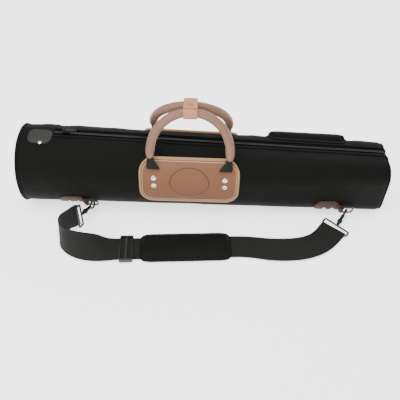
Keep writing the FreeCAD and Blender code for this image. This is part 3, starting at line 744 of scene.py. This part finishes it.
# the piping round the round end's panel, and the same cord round the squared end's seam
ring = []
for n in range(97):
    ring.append(reach(left_x + 0.0035, 90 - 360 * n / 96, 0.0))
ring_rows = []
for n in range(96):
    at, out = ring[n]
    ring_rows.append([at + Vector((a, 0, 0)) + out * b for a, b in circle(0.0022, 0.0)])
ring_rows.append(list(ring_rows[0]))
end_cord = loft(ring_rows, closed=True)
bmesh.ops.remove_doubles(end_cord, verts=end_cord.verts, dist=1e-6)
piece("round_end_cord", end_cord, piping_cloth, "base", slot="piping", stands_for=["round_end_piping"])


def seam_cord(name, start, end, lidded):
    """The cord sewn into the squared end's seam, between two angles."""
    path = []
    for n in range(81):
        at, out = reach(right_x - 0.0035, start + (end - start) * n / 80, -0.0036)
        way = (out + Vector((1, 0, 0))).normalized()
        path.append((at, way))
    bm = sweep(path, circle(0.0017, 0.0006))
    return (lid_piece(name, bm, piping_cloth, slot="piping") if lidded
            else piece(name, bm, piping_cloth, "base", slot="piping"))


seam_cord("square_end_front_cord", top_angle(right_x, front_edge) - 2, hinge_angle(right_x) + 1, False)
seam_cord("square_end_back_cord", hinge_angle(right_x) + 359, top_angle(right_x, back_edge) + 2, True)

inside = wall + 0.0005


def lined(start, end, count, x0, x1, closed=False):
    spots = stations(x0, x1, 0.012)
    rows = [cloth_row(x, inside, start(x), end(x), count, False) for x in spots]
    if closed:
        rows = [row[:-1] for row in rows]
    return rows


base_rows = lined(lambda x: top_angle(x, front_edge), hinge_angle, 72, lid_x, right_x - inside)
last = base_rows[-1]
base_rows += closing_rows(last, [corner_goal(p) for p in last], 5)
piece("base_lining_cloth", merged(loft(base_rows)), lining_cloth, "base", wall=0.0010, sharp=50, slot="lining_cloth",
      stands_for=["base_lining"])
ring_rows = list(reversed(lined(lambda x: 90, lambda x: -270, 72, left_x + inside, lid_x, True)))
centre = Vector((left_x + inside, 0, half(left_x)))
ring_rows += closing_rows(ring_rows[-1], [centre.lerp(p, 0.04) for p in ring_rows[-1]], 6)
piece("collar_lining_cloth", loft(ring_rows, closed=True), lining_cloth, "base", wall=0.0010, sharp=50,
      slot="lining_cloth")
lid_rows = lined(lambda x: hinge_angle(x) + 359.6, lambda x: top_angle(x, back_edge), 48,
                 lid_x + lid_gap, right_x - inside)
lid_rows += closing_rows(lid_rows[-1], [Vector((p.x, back_edge, max(p.z, hinge_z + lid_gap))) for p in lid_rows[-1]], 5)
lid_piece("lid_lining_cloth", merged(loft(lid_rows)), lining_cloth, wall=0.0010, sharp=50, slot="lining_cloth",
          stands_for=["lid_lining"])

# --- handle plates ---
# Thick tan leather, cut to a rounded oblong, with a paler raised edge folded over it and sewn down.
# Nickel rivets hold the handles' webbing. The oval is a plain pressed groove.
plate_length, plate_height, plate_corner = 0.187, 0.088, 0.026


def outline(length, height, radius, inset):
    """A rounded oblong's points, drawn in by inset, always the same number of them."""
    a, b = length / 2 - inset, height / 2 - inset
    r = min(max(radius - inset, 0.0015), a, b)
    across, along = max(2, round((length - 2 * radius) / 0.005)), max(2, round((height - 2 * radius) / 0.005))
    points = []
    for turn, steps in enumerate((along, across, along, across)):
        start = math.pi / 2 * turn
        sx, sy = (1, 1, -1, -1)[turn], (1, 1, -1, -1)[(turn + 3) % 4] if turn else 1
        cx, cy = [(a - r, b - r), (-(a - r), b - r), (-(a - r), -(b - r)), (a - r, -(b - r))][turn]
        arc = [Vector((cx + r * math.cos(start + math.pi / 2 * n / 8), cy + r * math.sin(start + math.pi / 2 * n / 8), 0))
               for n in range(9)]
        after = [(-(a - r), b), (-a, -(b - r)), (a - r, -b), (a, b - r)][turn]
        line_steps = (across, along, across, along)[turn]
        goal = Vector((after[0], after[1], 0))
        points += arc + [arc[-1].lerp(goal, n / line_steps) for n in range(1, line_steps)]
    return points


def cushion(steps, shape, place, closed_top=True):
    """A raised form built up flat from (inset, lift) steps, mapped flat, then laid in place."""
    rows = [[Vector((p.x, p.y, lift)) for p in outline(*shape, inset)] for inset, lift in steps]
    bm = loft(rows, closed=True)
    bm.verts.ensure_lookup_table()
    if closed_top:
        rim = [e for e in bm.edges if e.is_boundary
               and all(abs(v.co.z - steps[-1][1]) < 1e-7 for v in e.verts)
               and all(abs(v.co.x) < shape[0] / 2 - steps[-1][0] + 1e-6 for v in e.verts)
               and all(abs(v.co.y) < shape[1] / 2 - steps[-1][0] + 1e-6 for v in e.verts)]
        bmesh.ops.holes_fill(bm, edges=rim, sides=len(rows[-1]) + 1)
    uv = bm.loops.layers.uv["cloth"]
    for face in bm.faces:
        for loop in face.loops:
            loop[uv].uv = loop.vert.co.xy
    for v in bm.verts:
        v.co = place(v.co)
    return bm


def inner_steps(start, lift, stop, step=0.004, bulge=0.0):
    """Steps from one inset to another across a face, with a bulge in the middle."""
    count = max(1, round((stop - start) / step))
    return [(start + (stop - start) * n / count, lift + bulge * math.sin(math.pi / 2 * n / count))
            for n in range(1, count + 1)]


def stitches(points, place, length, gap, lift, radius=0.00042):
    """A row of thread stitches along a closed flat line, each one sunk at its ends."""
    bm = bmesh.new()
    line = points + points[:1]
    run = [0.0]
    for a, b in zip(line, line[1:]):
        run.append(run[-1] + (b - a).length)
    count = max(2, round(run[-1] / (length + gap)))
    pitch = run[-1] / count
    index = 0
    for n in range(count):
        spots = []
        for share in (0.0, 0.2, 0.5, 0.8, 1.0):
            far = pitch * n + length * share
            while index < len(run) - 2 and run[index + 1] < far:
                index += 1
            spots.append(line[index].lerp(line[index + 1], (far - run[index]) / (run[index + 1] - run[index])))
        way = (spots[-1] - spots[0]).normalized()
        side = Vector((-way.y, way.x, 0))
        rings = []
        for spot, size, drop in zip(spots, (0.45, 0.95, 1.0, 0.95, 0.45), (-0.9, -0.1, 0.15, -0.1, -0.9)):
            ring = []
            for k in range(6):
                t = math.tau * k / 6
                ring.append(bm.verts.new(place(spot + side * (radius * size * math.cos(t))
                                               + Vector((0, 0, lift + radius * (drop + size * math.sin(t)))))))
            rings.append(ring)
        for low, high in zip(rings, rings[1:]):
            for k in range(6):
                bm.faces.new((low[k], low[(k + 1) % 6], high[(k + 1) % 6], high[k]))
        bm.faces.new(rings[0])
        bm.faces.new(rings[-1])
    return bm


def leather(name, low, high, grain, rough, oval=None, lower_shade=None, bump_size=0.00025):
    """Leather: cloudy dye, fine pebbled grain, a pressed oval line where it is given, and painted shade that darkens it
    towards the bottom of the plate where a shade colour is given.
    """
    made, tree = finish(name)
    place = add(tree, "TexCoord").outputs["Object"]
    cloud = add(tree, "TexNoise", {"Vector": place, "Scale": 22.0, "Detail": 5.0, "Roughness": 0.55})
    tone = add(tree, "MixRGB", {"Fac": cloud.outputs["Fac"], "Color1": colour(low), "Color2": colour(high)}).outputs[0]
    pebble = add(tree, "TexVoronoi", {"Vector": place, "Scale": 1 / grain}, feature="DISTANCE_TO_EDGE")
    crease = add(tree, "MapRange", {"Value": pebble.outputs["Distance"], "From Max": 0.16}).outputs[0]
    fine = add(tree, "TexNoise", {"Vector": place, "Scale": 0.6 / grain, "Detail": 3.0})
    height = add(tree, "Math", {0: crease, 1: fine.outputs["Fac"]}, operation="MULTIPLY").outputs[0]
    # painted shade: the leather is mixed towards a darker colour towards the bottom of the plate, as if shaded from the
    # light above
    if lower_shade:
        flat = add(tree, "UVMap", uv_map="cloth").outputs[0]
        split = add(tree, "SeparateXYZ", {"Vector": flat})
        shaded_lower_part = add(tree, "MapRange", {"Value": split.outputs["Y"], "From Min": 0.5 * plate_height,
                                          "From Max": -0.5 * plate_height})
        tone = add(tree, "MixRGB", {"Fac": shaded_lower_part.outputs[0], "Color1": tone, "Color2": colour(lower_shade)}).outputs[0]
    if oval:
        flat = add(tree, "UVMap", uv_map="cloth").outputs[0]
        unit = add(tree, "VectorMath", {0: flat, 1: (2 / oval[0], 2 / oval[1], 0)}, operation="MULTIPLY")
        far = add(tree, "VectorMath", {0: unit.outputs[0]}, operation="LENGTH").outputs["Value"]
        off = add(tree, "Math", {0: far, 1: 1.0}, operation="SUBTRACT").outputs[0]
        near = add(tree, "Math", {0: off}, operation="ABSOLUTE").outputs[0]
        line = add(tree, "MapRange", {"Value": near, "From Min": 0.018, "From Max": 0.042, "To Min": 1.0,
                                      "To Max": 0.0}).outputs[0]
        tone = add(tree, "MixRGB", {"Fac": line, "Color1": tone, "Color2": colour("3E2413")}).outputs[0]
        sunk = add(tree, "Math", {0: line, 1: -4.0}, operation="MULTIPLY").outputs[0]
        height = add(tree, "Math", {0: height, 1: sunk}, operation="ADD").outputs[0]
    sheen = add(tree, "MapRange", {"Value": cloud.outputs["Fac"], "To Min": rough - 0.06, "To Max": rough + 0.08})
    bump = add(tree, "Bump", {"Height": height, "Strength": 0.5, "Distance": bump_size})
    shader = add(tree, "BsdfPrincipled", {"Base Color": tone, "Roughness": sheen.outputs[0],
                                          "Normal": bump.outputs[0], "Specular IOR Level": 0.45})
    add(tree, "OutputMaterial", {"Surface": shader.outputs[0]})
    return made


# both plates take painted shade, darker towards their bottom edge
tan_leather = leather("vegetable_tanned_tan_leather", "5F3C22", "764D2E", 0.0011, 0.50, oval=(0.073, 0.056), lower_shade="673814")
plain_tan = leather("vegetable_tanned_tan_leather_back", "5F3C22", "764D2E", 0.0011, 0.50, lower_shade="673814")
edge_leather = leather("burnished_leather_edge", "87613C", "A07A50", 0.0012, 0.42)
thread, tree = finish("waxed_cotton_thread")
shader = add(tree, "BsdfPrincipled", {"Base Color": colour("D9C3A2"), "Roughness": 0.7})
add(tree, "OutputMaterial", {"Surface": shader.outputs[0]})
dark_thread, tree = finish("black_nylon_thread")
shader = add(tree, "BsdfPrincipled", {"Base Color": colour("1E1E1C"), "Roughness": 0.6})
add(tree, "OutputMaterial", {"Surface": shader.outputs[0]})

plate_shape = (plate_length, plate_height, plate_corner)
plate_steps = [(0.0006, -0.0004), (0.0004, 0.0016), (0.0012, 0.0026), (0.0040, 0.0029)]
plate_steps += inner_steps(0.0040, 0.0029, 0.0405, 0.0036, 0.0005)
rim_steps = [(0.0002, 0.0006), (0.0, 0.0024), (0.0003, 0.0037), (0.0012, 0.0045), (0.0024, 0.0046),
             (0.0034, 0.0042), (0.0041, 0.0035), (0.0044, 0.0026)]
for side, body, angle, skin in [("front", "base", plate_angle, tan_leather), ("back", "lid", 180 - plate_angle, plain_tan)]:
    place = on_case(plate_x, angle)
    if side == "back":
        laid = place

        def place(p, laid=laid):
            return laid(Vector((p.x, -p.y, p.z)))
    piece(side + "_plate_leather", cushion(plate_steps, plate_shape, place), skin, body, slot="tan_leather",
          sharp=60, stands_for=[side + "_plate"])
    piece(side + "_plate_edge", cushion(rim_steps, plate_shape, place, False), edge_leather, body,
          slot="tan_leather_rim", sharp=60, stands_for=[side + "_plate_rim"])
    piece(side + "_plate_thread", stitches(outline(*plate_shape, 0.0062), place, 0.0026, 0.0013, 0.0032), thread,
          body, slot="tan_leather_rim", sharp=60)

# --- zip patch and pocket ---
# The zip's end is covered with a pebbled black leather patch, riveted through.
# The pocket on the back is a padded nylon pouch, sewn down all round and closed by its own flap, which isn't drawn.
black_leather = leather("pebbled_black_leather", "080906", "10110D", 0.0016, 0.52, bump_size=0.0005)
patch_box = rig.box("zip_end_patch")
patch_x = (patch_box[0].x + patch_box[1].x) / 2
patch_shape = (0.044, 0.036, 0.012)
patch_place = on_case(patch_x, 84)
patch_steps = [(0.0002, -0.0003), (0.0, 0.0009), (0.0007, 0.0016), (0.0018, 0.0017), (0.0026, 0.0013),
               (0.0034, 0.0016)] + inner_steps(0.0034, 0.0016, 0.0165, 0.0025, 0.0002)
piece("patch_leather", cushion(patch_steps, patch_shape, patch_place), black_leather, "base", slot="black_leather",
      sharp=60, stands_for=["zip_end_patch"])
piece("patch_thread", stitches(outline(*patch_shape, 0.0026), patch_place, 0.0022, 0.0012, 0.0014), dark_thread,
      "base", slot="black_leather", sharp=60)
pocket_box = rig.box("accessory_pocket")
pocket_x = (pocket_box[0].x + pocket_box[1].x) / 2
pocket_shape = (pocket_box[1].x - pocket_box[0].x, 0.056, 0.016)
pocket_place = on_case(pocket_x, 138)
pocket_steps = [(0.0, -0.0005), (0.0, 0.0012), (0.0016, 0.0020), (0.0030, 0.0018), (0.0042, 0.0042), (0.0058, 0.0076),
                (0.0082, 0.0100)] + inner_steps(0.0082, 0.0100, 0.0262, 0.003, 0.0016)
piece("pocket_cloth", cushion(pocket_steps, pocket_shape, pocket_place), case_cloth, "lid", slot="padded_nylon",
      sharp=70, stands_for=["accessory_pocket"])
piece("pocket_thread", stitches(outline(*pocket_shape, 0.0016), pocket_place, 0.0030, 0.0016, 0.0020), dark_thread,
      "lid", slot="padded_nylon", sharp=60)

# --- handles ---
# Rolled grips: tan leather sewn round a cord core, narrowing where it meets the black webbing.
# Each grip ends in folded webbing that is sewn and riveted through the plate.
arch_radius, arch_height, arch_sweep, grip_radius = 0.073, 0.104, 100.0, 0.0083
slot_spread, grip_apart, foot_gap = 0.066, 0.0036, 0.0004
joints = {j["name"]: j for j in frame["joints"]}
grip_leather = leather("rolled_grip_leather", "6A4A3A", "86634F", 0.0009, 0.42)
foot_webbing = oxford("folded_nylon_webbing", "141713", "23261F", 0.0016, 0.05)


def handle_frame(prefix, mirror):
    """The handle's foot, its axis along, up the arch and out of it, and its top."""
    joint = joints[prefix + "_handle_swing"]
    foot = Vector(joint["pos_m"])
    along = Vector(joint["axis"]).normalized()
    if along.x < 0:
        along = -along
    top_y = -mirror * (grip_radius + grip_apart / 2)
    lean = Vector((0, top_y - foot.y, math.sqrt(arch_height ** 2 - (top_y - foot.y) ** 2)))
    out = along.cross(lean).normalized()
    rise = out.cross(along)
    return foot, along, rise, out, foot + lean


def grip(prefix, mirror):
    foot, along, rise, out, top = handle_frame(prefix, mirror)
    middle = arch_height - arch_radius
    rows = []
    count = 96
    for n in range(-1, count + 2):
        share = max(0.0, min(1.0, n / count))
        a = math.radians(arch_sweep * (2 * share - 1))
        near = min(share, 1 - share) * 2 * arch_sweep * math.pi / 180 * arch_radius
        size = grip_radius * (0.62 + 0.38 * math.sin(math.pi / 2 * min(1.0, near / 0.013)) ** 0.7 if near > 0 else 0.62)
        if n < 0 or n > count:
            size *= 0.5
        size *= 1 + 0.006 * noise.noise(Vector((share * 60, mirror, 4)))
        outward = along * math.sin(a) + rise * math.cos(a)
        at = foot + rise * middle + outward * arch_radius
        row = []
        for k in range(28):
            t = math.tau * k / 28
            # the seam lies on the inside of the arch
            seam = 0.0007 * math.exp(-((abs(t - math.pi) / 0.16) ** 2))
            row.append(at + (outward * math.cos(t) + out * math.sin(t)) * (size - seam))
        rows.append(row)
    piece(prefix + "_grip_leather", loft(rows, closed=True, ends=True), grip_leather, prefix + "_handle",
          sharp=60, slot="grip_leather", stands_for=[prefix + "_grip"])
    # the stitches along the seam
    bm = bmesh.new()
    for side in (-1, 1):
        for n in range(70):
            a = math.radians(arch_sweep * 0.90 * (2 * (n + 0.5) / 70 - 1))
            outward = along * math.sin(a) + rise * math.cos(a)
            way = along * math.cos(a) - rise * math.sin(a)
            turn = math.pi + side * 0.30
            face = outward * math.cos(turn) + out * math.sin(turn)
            at = foot + rise * middle + outward * arch_radius + face * (grip_radius - 0.00012)
            across = face.cross(way)
            rings = []
            for shift, size in ((-0.0010, 0.3), (-0.0006, 0.9), (0.0006, 0.9), (0.0010, 0.3)):
                rings.append([bm.verts.new(at + way * shift + (face * math.cos(math.tau * k / 5)
                                                               + across * math.sin(math.tau * k / 5)) * 0.00035 * size)
                              for k in range(5)])
            for low, high in zip(rings, rings[1:]):
                for k in range(5):
                    bm.faces.new((low[k], low[(k + 1) % 5], high[(k + 1) % 5], high[k]))
            bm.faces.new(rings[0])
            bm.faces.new(rings[-1])
    piece(prefix + "_grip_thread", bm, thread, prefix + "_handle", slot="grip_leather", sharp=60)
    feet = bmesh.new()
    for side in (-1, 1):
        a = math.radians(arch_sweep)
        end = foot + along * (side * arch_radius * math.sin(a)) + rise * (middle + arch_radius * math.cos(a))
        end_way = (along * (-side * math.cos(a)) + rise * math.sin(a)).normalized()
        start = foot + along * (side * slot_spread) - rise * 0.0020
        rows = []
        for n in range(15):
            share = n / 14
            s = share * share * (3 - 2 * share)
            at = start.lerp(end + end_way * 0.002, share) + along * (side * 0.0012 * math.sin(math.pi * share))
            wide = 0.0118 + (0.0055 - 0.0118) * s
            thick = 0.0026 + (0.0052 - 0.0026) * s
            edge = 2.6 - 0.6 * s
            row = []
            for k in range(24):
                t = math.tau * k / 24
                c, d = math.cos(t), math.sin(t)
                row.append(at + along * (wide * math.copysign(abs(c) ** (2 / edge / 1.6), c))
                           + out * (thick * math.copysign(abs(d) ** (2 / edge), d)
                                    + 0.0006 * math.sin(5 * t) * (1 - s) * abs(d)))
            rows.append(row)
        one = loft(rows, closed=True, ends=True)
        held = bpy.data.meshes.new("foot")
        one.to_mesh(held)
        one.free()
        feet.from_mesh(held)
        bpy.data.meshes.remove(held)
    piece(prefix + "_foot_webbing", feet, foot_webbing, prefix + "_handle", sharp=60, slot="webbing",
          stands_for=[prefix + "_grip_webbing"])
    return top


front_top = grip("front", 1)
back_top = grip("back", -1)

# --- shoulder pad ---
# A foam pad in black nylon with a piped and sewn edge; the webbing runs through a sleeve under it.
pad_shape = (0.170, 0.066, 0.011)
pad_way = strap_way
pad_side_way = Vector((-pad_way.y, pad_way.x, 0))


def pad_laid(p):
    """The pad's flat drawing laid on the run, narrower towards its ends and a little bent."""
    near_end = max(0.0, (abs(p.x) - 0.060) / 0.025)
    width = 1 - 0.13 * near_end * near_end
    lift = p.z + 0.0004
    dimple = 0.0005 * noise.noise(Vector((p.x * 40, p.y * 60, 2.0))) if p.z > 0.010 else 0.0
    return pad_place + pad_way * p.x + pad_side_way * (p.y * width) + Vector((0, 0, lift + dimple))


pad_cloth = oxford("padded_nylon_shoulder_pad", "080907", "10110E", 0.0015, 0.03)
pad_steps = [(0.0300, 0.0000), (0.0200, 0.0000), (0.0080, 0.0000), (0.0030, 0.0006), (0.0010, 0.0026), (0.0003, 0.0046),
             (0.0006, 0.0062), (0.0018, 0.0066), (0.0030, 0.0062), (0.0044, 0.0080), (0.0062, 0.0108),
             (0.0090, 0.0134), (0.0125, 0.0150)] + inner_steps(0.0125, 0.0150, 0.0305, 0.0035, 0.0016)
bm = cushion(pad_steps, pad_shape, pad_laid, False)
rims = [e for e in bm.edges if e.is_boundary]
bmesh.ops.holes_fill(bm, edges=rims, sides=400)
pad = piece("shoulder_pad_cloth", bm, pad_cloth, "shoulder_pad", sharp=70, slot="padded_nylon",
            stands_for=["shoulder_pad"])
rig.padded(pad, fill=0.75)
piece("shoulder_pad_thread", stitches(outline(*pad_shape, 0.0034), pad_laid, 0.0028, 0.0014, 0.0064), dark_thread,
      "shoulder_pad", slot="padded_nylon", sharp=60)

# --- sewn strap ends ---
# Each webbing end is folded round the swivel's bar and box-stitched back to itself; the stitching isn't drawn.
for side in ("left", "right"):
    at, way, across = strap_ends[side]
    low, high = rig.box(side + "_strap_end")
    face = across.cross(way)
    end_length = 0.0120
    bar = at - way * (end_length + 0.0011)
    rows = []
    profile = [(0.0, 0.0034)]
    section = []
    for n in range(9):
        t = math.pi / 2 + math.pi * n / 8
        section.append((0.0034 * math.cos(t) * 0.95, 0.0034 * math.sin(t)))
    upper = [(end_length + 0.0035, 0.0013), (end_length, 0.0022), (0.6 * end_length, 0.0030)]
    loop_line = upper + section + [(a, -b) for a, b in reversed(upper)]
    for n in range(13):
        share = 2 * n / 12 - 1
        pinch = 1 - 0.10 * abs(share) ** 6
        rows.append([bar + way * a + face * (b * pinch) + across * (webbing_width / 2 * share) for a, b in loop_line])
    made = piece(side + "_sewn_end", loft(rows, closed=True, ends=True), woven_webbing, side + "_snap_hook",
                 round_off=0.0004, sharp=50, slot="webbing", stands_for=[side + "_strap_end"])

# --- metal and plastic fittings, leather tabs and the keeper ---
# Nickel rivets, black-painted zinc hooks and rings, a black moulded adjuster, brown leather tabs
# with eased edges, and a pink-tan leather keeper with a covered snap.


def metal(name, code, rough, metallic=1.0):
    """Cast or plated metal with faint wear."""
    made, tree = finish(name)
    place = add(tree, "TexCoord").outputs["Object"]
    wear = add(tree, "TexNoise", {"Vector": place, "Scale": 220.0, "Detail": 3.0})
    polish = add(tree, "MapRange", {"Value": wear.outputs["Fac"], "To Min": rough - 0.05, "To Max": rough + 0.08})
    shader = add(tree, "BsdfPrincipled", {"Base Color": colour(code), "Metallic": metallic,
                                          "Roughness": polish.outputs[0]})
    add(tree, "OutputMaterial", {"Surface": shader.outputs[0]})
    return made


nickel = metal("polished_nickel_plate", "D8D6D0", 0.16)
black_zinc = metal("black_painted_zinc", "121211", 0.36, 0.35)
adjuster_nylon = metal("moulded_black_nylon", "151514", 0.44, 0.0)
board_plastic = metal("pressed_polyethylene_board", "1A1A19", 0.6, 0.0)
brown_leather = leather("brown_saddle_leather", "2A1507", "402310", 0.0010, 0.68)
keeper_leather = leather("pink_tan_keeper_leather", "9A6448", "B87F5E", 0.0009, 0.45)
snap_cover = leather("leather_covered_snap", "8E5638", "A36A48", 0.0012, 0.5)


def rivets(name, body, spots, radius, proud):
    """Domed heads with a rolled edge, at each spot and normal."""
    bm = bmesh.new()
    for at, out in spots:
        side = out.orthogonal().normalized()
        other = out.cross(side)
        profile = [(radius * 0.96, -0.0003), (radius, 0.0003), (radius, 0.0006)]
        profile += [(radius * math.cos(t), 0.0006 + (proud - 0.0006) * math.sin(t))
                    for t in (math.pi / 2 * n / 7 for n in range(1, 7))]
        rings = [[bm.verts.new(at + out * b + (side * math.cos(math.tau * k / 32) + other * math.sin(math.tau * k / 32)) * a)
                  for k in range(32)] for a, b in profile]
        tip = bm.verts.new(at + out * proud)
        for low, high in zip(rings, rings[1:]):
            for k in range(32):
                bm.faces.new((low[k], low[(k + 1) % 32], high[(k + 1) % 32], high[k]))
        for k in range(32):
            bm.faces.new((rings[-1][k], rings[-1][(k + 1) % 32], tip))
        bm.faces.new(rings[0])
    return piece(name + "_heads", bm, nickel, body, sharp=60, slot="nickel_rivet", stands_for=[name])


def plate_turn(up):
    return plate_angle + math.degrees(math.asin(up / half(plate_x)))


seat = 0.00325
front_spots = [reach(plate_x + s * 0.066, plate_turn(up), seat) for s in (-1, 1) for up in (0.0079, -0.0062)]
rivets("front_plate_rivets", "base", front_spots, 0.0050, 0.0022)
back_spots = [reach(plate_x + s * 0.066, 180 - plate_turn(up), seat) for s in (-1, 1) for up in (0.0079, -0.0062)]
rivets("back_plate_rivets", "lid", back_spots, 0.0050, 0.0022)
tab_spots = [reach(x + 0.003 + s * 0.008, -33.0, seat) for x in (-0.254, 0.240) for s in (-1, 1)]
rivets("ring_tab_rivets", "base", tab_spots, 0.0032, 0.0014)
rivets("patch_rivet", "base", [reach(patch_x + 0.003, 70.0, 0.00205)], 0.0034, 0.0015)


def refined(node, skin, width, turn=35):
    """The CAD node's own mesh with its hard edges eased, in its material, on its body."""
    source = frame["nodes"][node]
    bm = bmesh.new()
    bm.from_mesh(source.data)
    bm.transform(source.matrix_world)
    bmesh.ops.remove_doubles(bm, verts=bm.verts, dist=1e-6)
    bmesh.ops.dissolve_limit(bm, angle_limit=math.radians(1.0), verts=bm.verts, edges=bm.edges)
    hard = [e for e in bm.edges if e.is_manifold and e.calc_face_angle(0) > math.radians(turn)]
    bmesh.ops.bevel(bm, geom=hard, offset=width, offset_type="OFFSET", affect="EDGES", segments=2, profile=0.5,
                    material=-1, clamp_overlap=True)
    return piece(node + "_finished", bm, skin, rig.body_of(source)[0], sharp=turn, stands_for=[node])


for node, skin, width in [("left_ring_tab", brown_leather, 0.0006), ("right_ring_tab", brown_leather, 0.0006),
                          ("keeper_band", keeper_leather, 0.0005), ("keeper_flap", keeper_leather, 0.0006),
                          ("keeper_snap", snap_cover, 0.0003), ("zip_slider", black_zinc, 0.0003),
                          ("zip_pull", black_zinc, 0.0003), ("strap_adjuster", adjuster_nylon, 0.0006),
                          ("left_hook", black_zinc, 0.0003), ("right_hook", black_zinc, 0.0003),
                          ("left_hook_gate", black_zinc, 0.0002), ("right_hook_gate", black_zinc, 0.0002),
                          ("left_swivel_loop", black_zinc, 0.0003), ("right_swivel_loop", black_zinc, 0.0003),
                          ("left_ring", black_zinc, 0.0), ("right_ring", black_zinc, 0.0),
                          ("bottom_board", board_plastic, 0.0004)]:
    made = refined(node, skin, width)
    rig.slot(made, {"polished_nickel_plate": "nickel_rivet", "black_painted_zinc": "black_metal",
                   "moulded_black_nylon": "black_plastic", "pressed_polyethylene_board": "plastic_board",
                   "brown_saddle_leather": "brown_leather", "pink_tan_keeper_leather": "keeper_leather",
                   "leather_covered_snap": "snap_metal"}[skin.name])

bounds_low, bounds_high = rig.bounds()
json.dump({"cad": [list(cad_low), list(cad_high)], "visual": [list(bounds_low), list(bounds_high)]},
          open("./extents.json", "w"))
